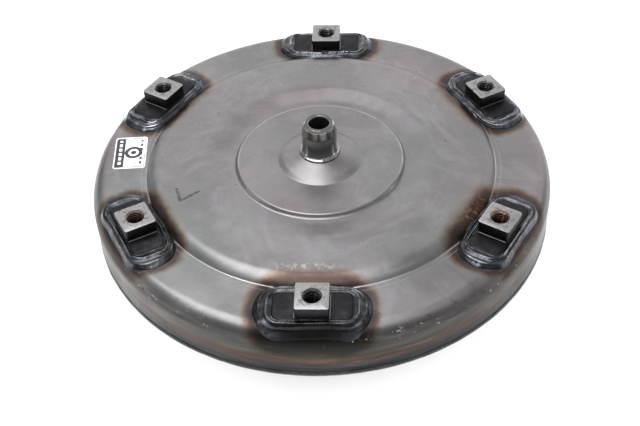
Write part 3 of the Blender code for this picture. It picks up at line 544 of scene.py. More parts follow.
def wall_streaks_and_painted_shade(look, height, streaks):
    """The drawn wall is painted darker, painted shade for a dark reflection, with brown and green streaks
    round it.
    """
    wall = height.span(RING_TOP - 0.0066, RING_TOP - 0.0008, 1.0, 0.0)
    tones = streaks.ramp(
        (0.30, 0.026, 0.024, 0.021),
        (0.45, 0.052, 0.048, 0.042),
        (0.56, 0.066, 0.064, 0.058),
        (0.70, 0.135, 0.124, 0.113),
    )
    # Painted shade: the wall is darkened to stand for a dark reflection; the streaks are its own colour.
    look.coat(wall * 0.94, tones)
    # Painted shade: the front-right side of the wall is darkened further.
    side_shade = look.attribute("side_shade") * streaks.span(0.30, 0.60, 1.0, 0.6)
    look.coat(side_shade.at_most(0.9), (0.026, 0.027, 0.025))


def weld_heat_and_shade(look):
    """Straw, brown and purple heat colours round each lug's weld, darkest at its toe, where the darkest
    tones are painted shade beside the bead.
    """
    heat = look.attribute("weld_heat_and_shade")
    distance = look.attribute("weld_distance") + look.sway(85.0, 0.0060, 5.0, 0.65)
    # The stops nearest the toe are painted shade beside the bead as well as heat colour.
    tint = (distance / (heat * 0.0115 + 0.0022)).ramp(
        (0.00, 0.22, 0.175, 0.170),
        (0.25, 0.26, 0.190, 0.165),
        (0.40, 0.40, 0.280, 0.220),
        (0.55, 0.58, 0.460, 0.395),
        (0.72, 0.86, 0.740, 0.62),
        (0.88, 0.97, 0.910, 0.83),
        (1.00, 1.0),
    )
    look.coat(heat.span(0.2, 0.6, 0.72, 1.0), look.mix(1.0, look.colour, tint, "MULTIPLY"))


def closing_heat(height, streaks):
    """The tint of the wall above the closing weld: blue-green, purple, brown, then none."""
    level = height + (streaks - 0.5) * 0.0090
    return level.span(COVER_RIM - 0.0010, COVER_RIM + 0.0190).ramp(
        (0.05, 0.34, 0.36, 0.38),
        (0.25, 0.50, 0.60, 0.62),
        (0.38, 0.74, 0.62, 0.70),
        (0.50, 1.15, 0.72, 0.62),
        (0.62, 1.05, 0.86, 0.72),
        (0.80, 1.0),
    )


def handling_marks(look, height):
    """Scratches on the top, light flecks where it was rubbed, and dark dings, which also dent it."""
    top = height.span(RING_TOP - 0.0040, RING_TOP - 0.0010)
    scratch = look.highest(*(look.scratches(turn) for turn in (18.0, -35.0, 62.0, -74.0))) * top
    look.coat(scratch * 0.28, (0.56, 0.55, 0.56))
    flecks = look.noise(1.0, 2.0, 0.6, look.stretched((620.0, 330.0, 620.0), 8.0)).span(0.51, 0.58)
    look.coat(look.attribute("rubbed") * flecks * 0.8, (0.66, 0.63, 0.60))
    dings = look.cells(95.0).span(0.04, 0.09, 1.0, 0.0) * look.noise(31.0, 2.0).span(0.56, 0.62)
    look.coat(dings * 0.70, (0.075, 0.070, 0.070))
    return scratch, dings


def shoulder_marks(look, height):
    """Dark dents and bright nicks in a band round the shoulder."""
    band = height.near(RING_TOP - 0.0052, 0.0062) * look.noise(17.0, 2.0).span(0.46, 0.60)
    dents = look.noise(60.0, 4.0, 0.7, look.wrapped(0.35, 6.0)).span(0.60, 0.66)
    look.coat(dents * band, (0.050, 0.049, 0.047))
    nicks = look.noise(70.0, 4.0, 0.7, look.wrapped(0.50, 5.0)).span(0.63, 0.68)
    look.coat(nicks * band, (0.62, 0.61, 0.60))


def painted_edge_highlights(look):
    """Painted highlights, not wear: light lines on the far side of the disc's edge and on the step's crease
    towards the front, and a faint ring just outside the crease.
    """
    radius = look.radius()
    depth = look.axis("Y")
    patchy = look.noise(38.0, 3.0, 0.6).span(0.40, 0.62, 0.35, 1.0)
    edge = radius.near(DISC_RADIUS - 0.0003, 0.0013) * depth.span(-0.030, 0.010)
    crease = radius.near(STEP_FOOT, 0.0006) * depth.span(0.085, 0.040)
    outer = radius.near(STEP_FOOT + 0.0034, 0.0004) * 0.30
    return look.highest(edge, crease, outer) * patchy


def shell_finish():
    """The impeller shell, which shows the heat of the closing weld and of the brazing furnace."""
    look = Finish("shell_steel")
    look.colour = look.tones(SHELL_STEEL, 20.0, 5.0, 0.6)
    rings = look.noise(26.0, 4.0, 0.6, look.wrapped(0.10, 11.0))
    look.coat(rings.span(0.35, 0.7, 0.0, 0.5), (0.17, 0.162, 0.155))
    level = look.axis("Z") + (rings - 0.5) * 0.0070
    tint = level.span(COVER_RIM - 0.0230, COVER_RIM - 0.0030).ramp(
        (0.10, 1.0),
        (0.35, 0.92, 0.76, 0.58),
        (0.50, 0.60, 0.38, 0.30),
        (0.62, 0.34, 0.30, 0.40),
        (0.80, 0.18, 0.22, 0.25),
        (1.00, 0.10, 0.10, 0.11),
    )
    look.tint(tint)
    marks = [look.scratches(110.0, 15.0, 13.0, 0.006), look.scratches(140.0, -50.0, 15.0, 0.006)]
    look.coat(look.highest(*marks) * 0.3, (0.7, 0.69, 0.68))
    look.uneven(0.36, 0.52, 40.0, 4.0, 0.6)
    look.bump(look.noise(900.0, 2.0, 0.6), 0.00002)
    look.bump(look.noise(150.0, 3.0), 0.00008)
    return look.done()


def weld_finish():
    """Glossy blue-grey weld metal with streaks of oxide, painted highlights along its ridges, dark slag in
    its hollows, and soot with painted shade on the front welds.
    """
    look = Finish("weld_metal")
    look.colour = look.tones(OXIDE, 120.0, 5.0, 0.6, warp=0.8)
    look.coat(look.noise(55.0, 3.0).span(0.52, 0.72, 0.0, 0.5), (0.095, 0.076, 0.070))
    # Painted highlights: light streaks along the bead's ridges.
    painted_gleam = look.attribute("painted_highlight") * look.noise(150.0, 4.0, 0.65).span(0.41, 0.56)
    look.coat(painted_gleam.at_most(1.0), (0.78, 0.80, 0.86))
    slag = look.attribute("slag") * look.noise(130.0, 3.0, 0.6).span(0.30, 0.60, 1.0, 0.6)
    look.coat(slag.at_most(0.9), (0.017, 0.016, 0.017))
    # Soot, and painted shade on the front welds.
    soot_and_shade = look.attribute("soot_and_shade")
    look.coat(soot_and_shade.at_most(0.95), (0.012, 0.012, 0.012))
    look.uneven(0.13, 0.30, 120.0, 3.0, 0.6)
    look.rough = look.rough + soot_and_shade * 0.12
    look.bump(look.noise(330.0, 2.0, 0.5), 0.00010)
    return look.done()


def lug_finish():
    """Dark forging skin, with oil in its pores."""
    look = Finish("lug_steel")
    height = look.axis("Z")
    look.colour = look.tones(FORGING_SKIN, 130.0, 5.0, 0.65)
    # The block's upright sides are painted near black, painted shade; its foot gets a thin light line, a
    # painted highlight.
    smoke_and_shade = (1.0 - abs(look.facing("Z"))) * height.span(LUG_PLATE_TOP + 0.0006, LUG_PLATE_TOP + 0.0014)
    look.coat(smoke_and_shade * 0.85, (0.020, 0.020, 0.021))
    look.coat(height.near(LUG_PLATE_TOP + 0.00030, 0.00016) * 0.8, (0.36, 0.36, 0.38))
    look.uneven(0.36, 0.52, 300.0, 3.0)
    look.bump(look.noise(800.0, 3.0, 0.6), 0.00005, 0.6)
    return look.done()


def face_finish():
    """The lug's machined top: light grey, with fine milling marks, oil smudges and a few dings."""
    look = Finish("lug_face")
    look.colour = look.tones(MILLED, 1500.0, 3.0, 0.7)
    look.coat(look.noise(190.0, 4.0, 0.65).span(0.60, 0.68, 0.0, 0.8), (0.14, 0.12, 0.115))
    oily = look.attribute("oil") * look.noise(330.0, 4.0, 0.65, warp=0.8).span(0.50, 0.56)
    look.coat(oily * 0.9, (0.040, 0.034, 0.034))
    mill = look.noise(1.0, 2.0, 0.5, look.stretched((90.0, 2600.0, 90.0), 30.0))
    look.rough = mill.span(*MIDDLE_NOISE, 0.34, 0.50)
    look.bump(mill, 0.00003, 0.4)
    return look.done()


def thread_finish(name, root, flank, crest):
    """A tapped hole: near black in its grooves, old oil with painted shade, light on its crests, and
    painted darker the deeper it goes.
    """
    look = Finish(name)
    depth = look.attribute("groove") + look.sway(300.0, 0.14)
    look.colour = depth.ramp((0.05, *crest), (0.20, *flank), (0.60, *root))
    # Painted shade: the hole gets darker the deeper it goes.
    light = look.axis("Z").span(LUG_FACE - 0.0075, LUG_FACE - 0.0030, 0.25, 1.0)
    look.tint(light.ramp((0.0, 0.0), (1.0, 1.0)))
    look.uneven(0.22, 0.40, 500.0, 3.0)
    look.bump(look.noise(900.0, 2.0), 0.00003)
    return look.done()


def machined_finish():
    """Turned steel: fine rings round the axis, faint brown stains, and painted shade on the pilot's end and
    on its side towards -Y.
    """
    look = Finish("machined_steel")
    height = look.axis("Z")
    rings = look.noise(1.0, 2.0, 0.5, look.wrapped(1.5, 2200.0))
    look.colour = rings.ramp(*TURNED_STEEL)
    look.coat(look.noise(70.0, 4.0, 0.6).span(0.50, 0.72, 0.0, 0.5), (0.20, 0.18, 0.155))
    # The pilot's flat end is painted dark between its two bright rims: painted shade for a dark reflection.
    end = look.radius().near(PILOT_BORE_RADIUS + 0.0015, 0.0013)
    end = end * height.span(PILOT_TOP - 0.0004, PILOT_TOP - 0.0001)
    look.coat(end * 0.9, (0.045, 0.042, 0.040))
    # Its nose and its barrel are painted darker on the side towards -Y: painted shade for dark reflections,
    # brownish on the nose.
    front = look.facing("Y")
    nose_shade = height.span(PILOT_TOP - 0.0080, PILOT_TOP - 0.0062)
    nose_shade = nose_shade * height.span(PILOT_TOP - 0.0012, PILOT_TOP - 0.0018)
    nose_shade = nose_shade * front.span(-0.66, -0.86) * look.noise(160.0, 4.0, 0.6).span(0.30, 0.50, 0.55, 0.9)
    look.coat(nose_shade, (0.095, 0.082, 0.075))
    barrel_shade = height.near((PILOT_TOP + LUG_FACE) / 2 - 0.0030, 0.0075) * front.span(-0.45, -0.95, 0.0, 0.75)
    barrel_shade = barrel_shade * look.radius().span(PILOT_COLLAR_RADIUS + 0.0006, PILOT_COLLAR_RADIUS - 0.0006)
    look.coat(barrel_shade, (0.12, 0.115, 0.11))
    look.uneven(0.09, 0.20, 90.0, 4.0)
    look.bump(rings, 0.00001, 0.15)
    return look.done()


def bore_finish():
    """The pilot's rough drilled bore, black with burnt oil."""
    look = Finish("pilot_bore", 0.4)
    crust = look.noise(350.0, 4.0, 0.7)
    look.colour = crust.ramp((0.35, 0.002, 0.002, 0.002), (0.70, 0.010, 0.009, 0.009))
    look.rough = crust.span(*MIDDLE_NOISE, 0.55, 0.75)
    look.bump(crust, 0.0002)
    return look.done()


def label_finish():
    """Printed film: white with a dark band down its left side and a plain ring and bars beside it."""
    look = Finish("label_film", 0.0)
    across = look.attribute("across")
    along = look.attribute("along")
    gaps = look.math("FRACT", along * 7.0) > 0.40
    inner = abs(along) < 0.40
    ticks = (across > -0.36) * (across < -0.27) * gaps * inner
    bars = (across > 0.30) * (across < 0.38) * gaps * inner
    # A ring with a dot in it.
    dx = (across - 0.10) * 0.68
    away = look.math("SQRT", dx * dx + along * along)
    ring = abs(away - 0.150) < 0.040
    edge = look.highest(abs(across), abs(along))
    printed = look.highest((across < -0.18) - ticks, ring, away < 0.060, bars, edge > 0.445)
    printed = look.math("MULTIPLY", printed, edge < 0.468, clamp=True)
    look.colour = look.noise(300.0, 3.0).ramp((0.3, 0.80, 0.80, 0.81), (0.7, 0.90))
    look.coat(printed, (0.028, 0.030, 0.038))
    look.uneven(0.30, 0.42, 200.0, 2.0)
    look.bump(look.noise(260.0, 2.0), 0.00004)
    return look.done()


def paint_finish():
    """A paint-pen mark, thin enough in places to show the steel."""
    look = Finish("marker_paint", 0.15)
    look.colour = look.tones(PAINT, 600.0, 4.0, 0.7)
    look.uneven(0.40, 0.55, 300.0, 2.0)
    return look.done()


def metal_finish(name, dark, light, low, high, grain=300.0):
    """A plain metal of the inner pieces: two tones, uneven gloss and a fine grain."""
    look = Finish(name)
    look.colour = look.noise(60.0, 5.0, 0.65).ramp((0.32, *dark), (0.68, *light))
    look.uneven(low, high, grain / 2, 4.0)
    look.bump(look.noise(grain * 3, 3.0), 0.00003)
    return look.done()


def fibre_finish():
    """The lock-up clutch's paper lining."""
    look = Finish("friction_paper", 0.0)
    fibres = look.noise(1.0, 4.0, 0.6, look.stretched((1800.0, 300.0, 900.0)))
    look.colour = fibres.ramp((0.35, 0.10, 0.065, 0.040), (0.65, 0.24, 0.16, 0.10))
    look.rough = fibres.span(*MIDDLE_NOISE, 0.80, 0.95)
    look.bump(fibres, 0.0001, 0.6)
    return look.done()


def rubber_finish():
    """The piston's seal, with some dust on it."""
    look = Finish("seal_rubber", 0.0)
    dust = look.noise(400.0, 3.0, 0.6)
    look.colour = dust.ramp((0.4, 0.012, 0.012, 0.013), (0.7, 0.040, 0.040, 0.041))
    look.rough = dust.span(*MIDDLE_NOISE, 0.45, 0.62)
    look.bump(dust, 0.00003)
    return look.done()


COVER = cover_finish()
SHELL = shell_finish()
WELD = weld_finish()
LUG = lug_finish()
FACE = face_finish()
DARK_THREAD = thread_finish(
    "dark_thread", (0.002, 0.002, 0.002), (0.008, 0.007, 0.007), (0.20, 0.19, 0.185)
)
BRIGHT_THREAD = thread_finish(
    "bright_thread", (0.002, 0.001, 0.001), (0.010, 0.007, 0.006), (0.40, 0.27, 0.21)
)
BORE = bore_finish()
MACHINED = machined_finish()
INNER_SHEET = metal_finish("inner_sheet", (0.20, 0.19, 0.18), (0.36, 0.345, 0.33), 0.38, 0.55)
BEARING = metal_finish("bearing_steel", (0.48, 0.48, 0.49), (0.62, 0.62, 0.63), 0.14, 0.26)
SPRING = metal_finish("spring_steel", (0.10, 0.095, 0.09), (0.20, 0.19, 0.18), 0.28, 0.42)
ALUMINIUM = metal_finish("cast_aluminium", (0.55, 0.55, 0.56), (0.70, 0.70, 0.71), 0.40, 0.55, 500.0)
BRONZE = metal_finish("bronze", (0.38, 0.24, 0.10), (0.56, 0.38, 0.17), 0.28, 0.42)
FIBRE = fibre_finish()
RUBBER = rubber_finish()


# ---------------------------------------------------------------- front cover
def cover_outline():
    """The pressed cover's outer face, from the pilot hole to the rim, as (radius, height, fillet)."""
    roll = arc((PLATEAU_EDGE, PLATEAU_TOP - PLATEAU_BEND), PLATEAU_BEND, 90, 90 - PLATEAU_ROLL, 14)
    return [
        (PILOT_COLLAR_RADIUS + 0.0002, LUG_FACE - 0.0023, 0.0),
        (0.0170, LUG_FACE - 0.0038, 0.0120),
        (DOME_RADIUS - 0.0010, DOME_EDGE - 0.0010, 0.0080),
        (DISC_FLAT_RADIUS, DISC_TOP, 0.0008),
        (DISC_RADIUS - 0.0016, DISC_TOP, 0.0),
        (DISC_RADIUS - 0.0008, DISC_TOP + 0.0001, 0.0010),
        (DISC_RADIUS, DISC_TOP - 0.0003, 0.0011),
        (DISC_RADIUS + 0.0014, VALLEY_FLOOR, 0.0034),
        (DISC_RADIUS + 0.0060, VALLEY_FLOOR + 0.0002, 0.0300),
        (VALLEY_EDGE, PLATEAU_TOP, 0.0240),
        *roll[:-1],
        (STEP_FOOT, RING_TOP, 0.0009),
        (BODY_RADIUS, RING_TOP, SHOULDER),
        (BODY_RADIUS, COVER_RIM, 0.0006),
    ]


def height_table():
    """The cover's outer face as radii and heights, to lay the welds and marks on."""
    outline = filleted(cover_outline() + [(BODY_RADIUS - COVER_SHEET, COVER_RIM, 0.0)])
    radii, drops = zip(*sorted((p.x, -p.y) for p in outline if p.y > COVER_RIM + 0.005))
    return np.array(radii), -np.array(drops)


TABLE_RADII, TABLE_HEIGHTS = height_table()


def cover_height(radius):
    return float(np.interp(radius, TABLE_RADII, TABLE_HEIGHTS))


def lug_angle(index):
    return FIRST_LUG_ANGLE - math.tau * index / LUG_COUNT


def lug_axes(index):
    """The lug's centre, its outward direction and its direction along the rim."""
    out = on_circle(1.0, lug_angle(index))
    return out * LUG_CIRCLE_RADIUS, out, Vector((-out.y, out.x))


def weld_place(x, y, index):
    """A point as its lug sees it: how far towards the rim, how far along it, how far from the weld's toe,
    and whether the nearest part of the toe is on a long side (1) or at an end (0)."""
    centre, out, along = lug_axes(index)
    place = Vector((x, y)) - centre
    across, beside = place.dot(out), place.dot(along)
    inner, outer, near, far = WELD_GROWTH[index]
    across_share = 1 + (outer if across > 0 else inner) / (WELD_WIDTH / 2)
    beside_share = 1 + (near if beside > 0 else far) / (WELD_LENGTH / 2)
    dx = abs(beside) / beside_share - (WELD_LENGTH / 2 - WELD_CORNER)
    dy = abs(across) / across_share - (WELD_WIDTH / 2 - WELD_CORNER)
    away = math.hypot(max(dx, 0.0), max(dy, 0.0)) + min(max(dx, dy), 0.0) - WELD_CORNER
    return across, beside, away, max(dy, 0.0) / (max(dx, 0.0) + max(dy, 0.0) + TINY)


# How strongly each weld coloured the cover, heat colours and the painted shade beside its toe: towards the
# axis, towards the rim, and at its two ends.
HEAT_AND_SHADE = [
    (0.42, 0.35, 0.42, 0.48),
    (0.80, 0.15, 0.38, 0.38),
    (1.00, 0.40, 0.46, 0.32),
    (0.72, 0.70, 0.22, 0.42),
    (0.62, 0.45, 0.36, 0.28),
    (0.70, 0.40, 0.46, 0.22),
]
# How much wider than the others each weld grew, towards the same four sides.
WELD_GROWTH = [
    (0.0, 0.0, 0.0, 0.0),
    (0.0006, 0.0, 0.0, 0.0),
    (0.0004, 0.0, 0.0, 0.0),
    (0.0014, 0.0026, 0.0010, 0.0012),
    (0.0, 0.0004, 0.0020, 0.0),
    (0.0004, 0.0, 0.0010, 0.0),
]
# How far each lug's bead is darkened: painted shade, mostly on the front welds.
FRONT_BEAD_SHADE = (0.05, 0.0, 0.30, 0.45, 0.40, 0.0)
RUSTY_LUG = 2
SOOTY_LUG = 3
BRIGHT_THREADS = (2, 4)         # the tapped holes whose threads are lighter and browner
SHADED_SIDE_ANGLE = math.radians(-72)  # the side of the cover's wall that is painted darker, painted shade


def paint_heat_and_shade(obj):
    """Gives each point of the cover its distance to the nearest lug weld, how strong the heat colours and
    painted shade of that weld are there, its soot, rust and rubbing, and the painted shade on one side of
    the wall.
    """
    rows = []
    for vertex in obj.data.vertices:
        x, y, z = vertex.co
        angle = math.atan2(y, x)
        index = round((FIRST_LUG_ANGLE - angle) / (math.tau / LUG_COUNT)) % LUG_COUNT
        across, beside, away, facing = weld_place(x, y, index)
        away += max(0.0, RING_TOP - SHOULDER - z)
        inner, outer, near, far = HEAT_AND_SHADE[index]
        heat = facing * (outer if across > 0 else inner) + (1 - facing) * (near if beside > 0 else far)
        smoke_and_shade = patch = rub = 0.0
        if index == SOOTY_LUG:
            rub = bell(across, -0.0300, 0.0026, 4) * bell(beside, -0.006, 0.0190, 4)
            if across > 0:
                smoke_and_shade = bell(max(0.0, away), 0.0, 0.0075) * max(0.0, 1 - (beside / 0.040) ** 4)
        if index == RUSTY_LUG:
            patch = bell(across, -0.0192, 0.0036) * bell(beside, 0.007, 0.0130)
        # Painted shade on the front-right side of the wall, below the shoulder.
        turn = (angle - SHADED_SIDE_ANGLE + math.pi) % math.tau - math.pi
        side_shade = 0.8 * clamped((RING_TOP - 0.0016 - z) / 0.0065) * bell(turn, 0.0, 0.75)
        rows.append((away, heat, min(1.0, smoke_and_shade), min(1.0, 2.0 * patch), side_shade, rub))
    names = ("weld_distance", "weld_heat_and_shade", "soot_and_shade", "rust", "side_shade", "rubbed")
    add_values(obj.data, dict(zip(names, zip(*rows))))


def cover():
    """The pressed front cover, with its inner face a sheet's thickness below the outer one."""
    wall = BODY_RADIUS - COVER_SHEET
    inside = [
        (wall, COVER_RIM, 0.0006),
        (wall, RING_TOP - COVER_SHEET, SHOULDER - COVER_SHEET),
        (STEP_FOOT, RING_TOP - COVER_SHEET, 0.0030),
        (PLATEAU_EDGE, PLATEAU_TOP - COVER_SHEET, 0.0060),
        (VALLEY_EDGE + 0.0020, PLATEAU_TOP - COVER_SHEET, 0.0100),
        (DISC_RADIUS + 0.0030, VALLEY_FLOOR - COVER_SHEET, 0.0060),
        (DISC_FLAT_RADIUS + 0.0011, DISC_TOP - COVER_SHEET + 0.0001, 0.0030),
        (PILOT_COLLAR_RADIUS + 0.0002, LUG_FACE - 0.0023 - COVER_SHEET, 0.0),
    ]
    outline = divided(filleted(cover_outline() + inside))

    def uneven(radius, angle, height):
        """Pressed sheet is never quite true: this one is a tenth of a millimetre out."""
        x, y = radius * math.cos(angle), radius * math.sin(angle)
        rise = 0.00009 * wave(x, y, height, 0.045) + 0.00004 * wave(x, y, height, 0.016, 1.0)
        bulge = 0.00010 * wave(x, y, height, 0.030, 2.0) + 0.00003 * wave(x, y, height, 0.009, 3.0)
        return radius + (bulge if radius > 0.12 else 0.0), height + (rise if radius > 0.02 else 0.0)

    obj = turned("front_cover_pressing", outline, COVER, push=uneven)
    paint_heat_and_shade(obj)
    return stands_for(obj, "cover_steel", "front_cover")


# ---------------------------------------------------------------- pilot
def pilot():
    """The hollow spigot that centres the cover, with a collar where it was pressed in."""
    bore = PILOT_BORE_RADIUS
    tip = [
        (0.0, -0.0240, 0.0),
        (bore, -0.0215, 0.0005),
        (bore, -0.0007, 0.0003),
        (bore + 0.0006, 0.0, 0.0003),
        (bore + 0.0023, 0.0, 0.0004),
        (PILOT_TIP_RADIUS, -0.0014, 0.0005),
        (PILOT_RADIUS - 0.0001, -0.0058, 0.0010),
        (PILOT_RADIUS + 0.0001, -0.0066, 0.0006),
    ]
    collar = [
        (PILOT_RADIUS, -0.0004, 0.0016),
        (PILOT_COLLAR_RADIUS, -0.0012, 0.0005),
        (PILOT_COLLAR_RADIUS, -0.0018, 0.0002),
        (PILOT_COLLAR_RADIUS - 0.0013, -0.0021, 0.0),
        (PILOT_COLLAR_RADIUS - 0.0013, -0.0064, 0.0),
        (PILOT_ROOT_RADIUS, -0.0082, 0.0008),
    ]
    root = [(PILOT_ROOT_RADIUS, 0.0, 0.0008), (0.0, 0.0, 0.0)]
    outline = moved(tip, 0.0, PILOT_TOP) + moved(collar, 0.0, LUG_FACE) + moved(root, 0.0, PILOT_FOOT)
    obj = turned("pilot_spigot", divided(filleted(outline, 0.0004), 0.0006), MACHINED, 120)
    obj.data.materials.append(BORE)
    for face in obj.data.polygons:
        centre = face.center
        inside = math.hypot(centre.x, centre.y) < bore + 0.0002
        face.material_index = int(inside and PILOT_TOP - 0.0245 < centre.z < PILOT_TOP - 0.0007)
    return stands_for(obj, "machined_steel", "pilot_hub")


# ---------------------------------------------------------------- lugs
def thread_cutter():
    """A rod with a screw thread and a countersink, which leaves the tapped hole."""
    facets, rows_per_pitch = 48, 10
    low, high = RING_TOP + 0.0006, LUG_FACE + 0.0010
    rows = math.ceil((high - low) / THREAD_PITCH * rows_per_pitch)
    points = []
    for row in range(rows + 1):
        height = low + (high - low) * row / rows
        for facet in range(facets):
            angle = math.tau * facet / facets
            turn = (height / THREAD_PITCH - facet / facets) % 1.0
            groove = max(0.0, 1.0 - abs(turn - 0.5) / 0.42)
            sink = LUG_CHAMFER_RADIUS - (LUG_FACE - height)
            radius = max(LUG_HOLE_RADIUS + THREAD_DEPTH * groove, sink)
            points.append((*on_circle(radius, angle), height))
    return new_object("thread_cutter", points, tube_faces(rows + 1, facets), DARK_THREAD, BEAD_EDGE)


def lug_blank():
    """One lug at the origin, its length along X: a forged plate, a square block and a tapped hole."""
    low = RING_TOP + 0.0003
    shape = rounded_rectangle(LUG_PLATE_LENGTH - 0.0004, LUG_BLOCK + 0.0002, LUG_PLATE_CORNER, 6, 1, 1)
    plate = bevelled(prism("plate", shape, low, LUG_PLATE_TOP, LUG), 0.0006, 3)
    shape = rounded_rectangle(LUG_BLOCK, LUG_BLOCK_DEPTH, 0.0014, 5, 1, 1)
    block = bevelled(prism("block", shape, low + 0.0007, LUG_FACE, LUG), 0.00028)
    shape = rounded_rectangle(LUG_BLOCK + 0.0013, LUG_BLOCK - 0.0006, 0.0014, 5, 1, 1)
    foot = bevelled(prism("foot", shape, low + 0.0007, LUG_PLATE_TOP + 0.00035, LUG), 0.0003)
    lug = combined(combined(plate, foot, "UNION"), block, "UNION")
    lug = combined(lug, thread_cutter(), "DIFFERENCE")
    lug.data.materials.clear()
    for material in (LUG, DARK_THREAD, FACE):
        lug.data.materials.append(material)
    for face in lug.data.polygons:
        centre = face.center
        away = math.hypot(centre.x, centre.y)
        if away < LUG_CHAMFER_RADIUS + 0.00002 and abs(face.normal.z) < 0.95:
            face.material_index = 1
        elif centre.z > LUG_FACE - 0.00035:
            face.material_index = 2
    groove, oil = [], []
    for vertex in lug.data.vertices:
        away = math.hypot(vertex.co.x, vertex.co.y)
        sunk = vertex.co.z < LUG_FACE - (LUG_CHAMFER_RADIUS - LUG_HOLE_RADIUS) + 0.0003
        groove.append((away - LUG_HOLE_RADIUS) / THREAD_DEPTH if sunk else 0.07)
        oil.append(max(0.0, 1.0 - max(0.0, away - LUG_HOLE_RADIUS) / 0.0055))
    add_values(lug.data, {"groove": groove, "oil": oil})
    shaded(lug.data, CUT_EDGE)
    return lug


def lugs():
    """Six copies of the blank round the cover."""
    blank = lug_blank()
    for index in range(LUG_COUNT):
        mesh = blank.data.copy()
        if index in BRIGHT_THREADS:
            mesh.materials[1] = BRIGHT_THREAD
        turn = Matrix.Rotation(lug_angle(index), 4, "Z") @ Matrix.Translation((LUG_CIRCLE_RADIUS, 0.0, 0.0))
        mesh.transform(turn @ Matrix.Rotation(-math.pi / 2, 4, "Z"))
        stands_for(linked(f"lug_{index + 1}", mesh), "lug_steel", f"mounting_lug_{index + 1}")
    bpy.data.objects.remove(blank, do_unlink=True)


# ---------------------------------------------------------------- welds
def lug_weld(index):
    """The fillet bead all round a lug's plate: a groove, two ridges and a steep toe on the cover."""
    across_count = 30
    inner = rounded_rectangle(LUG_PLATE_LENGTH, LUG_BLOCK + 0.0006, LUG_PLATE_CORNER)
    outer = rounded_rectangle(WELD_LENGTH, WELD_WIDTH, WELD_CORNER)
    count = len(inner)
    centre, out, along = lug_axes(index)
    grow_in, grow_out, grow_near, grow_far = WELD_GROWTH[index]
    arc_length = [0.0]
    for first, second in zip(outer, outer[1:]):
        arc_length.append(arc_length[-1] + (second - first).length)

    def placed(point):
        """The lug's own X runs along the rim and its Y towards the rim."""
        return centre + out * point.y - along * point.x

    def drift(loop, turns, seed):
        """Smooth noise round the bead, with about this many swells."""
        return wave(turns * math.cos(loop), turns * math.sin(loop), 0.0, 1.0, seed + index)

    upper, lower, slag, soot_and_shade, painted_highlight = [], [], [], [], []
    for number in range(count):
        run = arc_length[number]
        loop = run / arc_length[-1] * math.tau
        sway = drift(loop, 1.0, 3.0)
        spread = 1.0 + 0.034 * sway + 0.022 * drift(loop, 2.6, 8.0) + 0.010 * drift(loop, 6.0, 12.0)
        x, y = outer[number]
        x *= 1 + (grow_far if x > 0 else grow_near) / (WELD_LENGTH / 2)
        y *= 1 + (grow_out if y > 0 else grow_in) / (WELD_WIDTH / 2)
        toe = Vector((x, y)) * spread
        foot_height = cover_height(placed(toe).length)
        crest = 0.30 + 0.06 * drift(loop, 2.0, 20.0)
        second = 0.70 + 0.07 * drift(loop, 2.0, 31.0)
        swell = 1.0 + 0.9 * drift(loop, 3.0, 42.0)
        for step in range(across_count + 1):
            share = step / across_count
            flat = inner[number].lerp(toe, share)
            point = placed(flat)
            bed = cover_height(point.length)
            fall = share**2.8
            height = (LUG_PLATE_TOP - 0.0003) * (1 - fall) + foot_height * fall
            taper = min(1.0, (1 - share) * 9)
            groove = -0.00020 * bell(share, 0.06, 0.05)
            ridge = 0.00060 * swell * bell(share, crest, 0.075)
            hollow = -0.00030 * bell(share, 0.50, 0.10)
            shelf = 0.00055 * bell(share, second, 0.10)
            chevron = math.sin(math.tau * (run / 0.0019 + 1.1 * (share - 0.4) ** 2 + 0.5 * sway))
            ripple = 0.00006 * chevron * (0.5 + 0.5 * wave(*point, 0.0, 0.010, 5.0))
            lumps = 0.00020 * wave(*point, 0.0, 0.0070, 1.0) + 0.00006 * wave(*point, 0.0, 0.0025, 2.0)
            height += taper * (groove + ridge + hollow + shelf + ripple + lumps)
            height = max(height, bed + 0.0003 - 0.0005 * share)
            upper.append((point.x, point.y, height))
            lower.append((point.x, point.y, bed - 0.0008))
            slag.append(max(0.5 * bell(share, 0.04, 0.05), max(0.0, (share - 0.88) / 0.12)))
            # Where the painted highlights go: along the crest, along the second ridge, and in patches.
            along_crest = bell(share, crest, 0.035) * max(0.0, 0.55 + 0.9 * drift(loop, 2.5, 53.0))
            along_shelf = bell(share, second, 0.030) * max(0.0, 0.35 + 0.9 * drift(loop, 2.5, 64.0))
            patch = bell(share, 0.5, 0.22) * max(0.0, 2.2 * drift(loop, 2.0, 75.0) - 0.7)
            painted_gleam = along_crest + along_shelf + 0.45 * patch + 0.12 * chevron * (taper > 0.9)
            painted_highlight.append(min(1.2, painted_gleam))
            # Soot at the front lug, and painted shade on the front welds.
            smoke_and_shade = clamped((flat.y - 0.0085) / 0.006) * max(0.0, 1 - (flat.x / 0.032) ** 4)
            soot_and_shade.append(max(smoke_and_shade if index == SOOTY_LUG else 0.0, FRONT_BEAD_SHADE[index]))
    rows = across_count + 1
    total = count * rows
    faces = []
    for number in range(count):
        start, after = number * rows, (number + 1) % count * rows
        for step in range(across_count):
            a, b = start + step, after + step
            faces += [(a, b, b + 1, a + 1), (total + a, total + a + 1, total + b + 1, total + b)]
        end, after_end = start + across_count, after + across_count
        faces.append((start, total + start, total + after, after))
        faces.append((end, after_end, total + after_end, total + end))
    obj = new_object(f"lug_bead_{index + 1}", upper + lower, faces, WELD, BEAD_EDGE)
    add_values(obj.data, {"slag": slag * 2, "soot_and_shade": soot_and_shade * 2, "painted_highlight": painted_highlight * 2})
    return stands_for(obj, "weld_metal", f"lug_weld_{index + 1}")


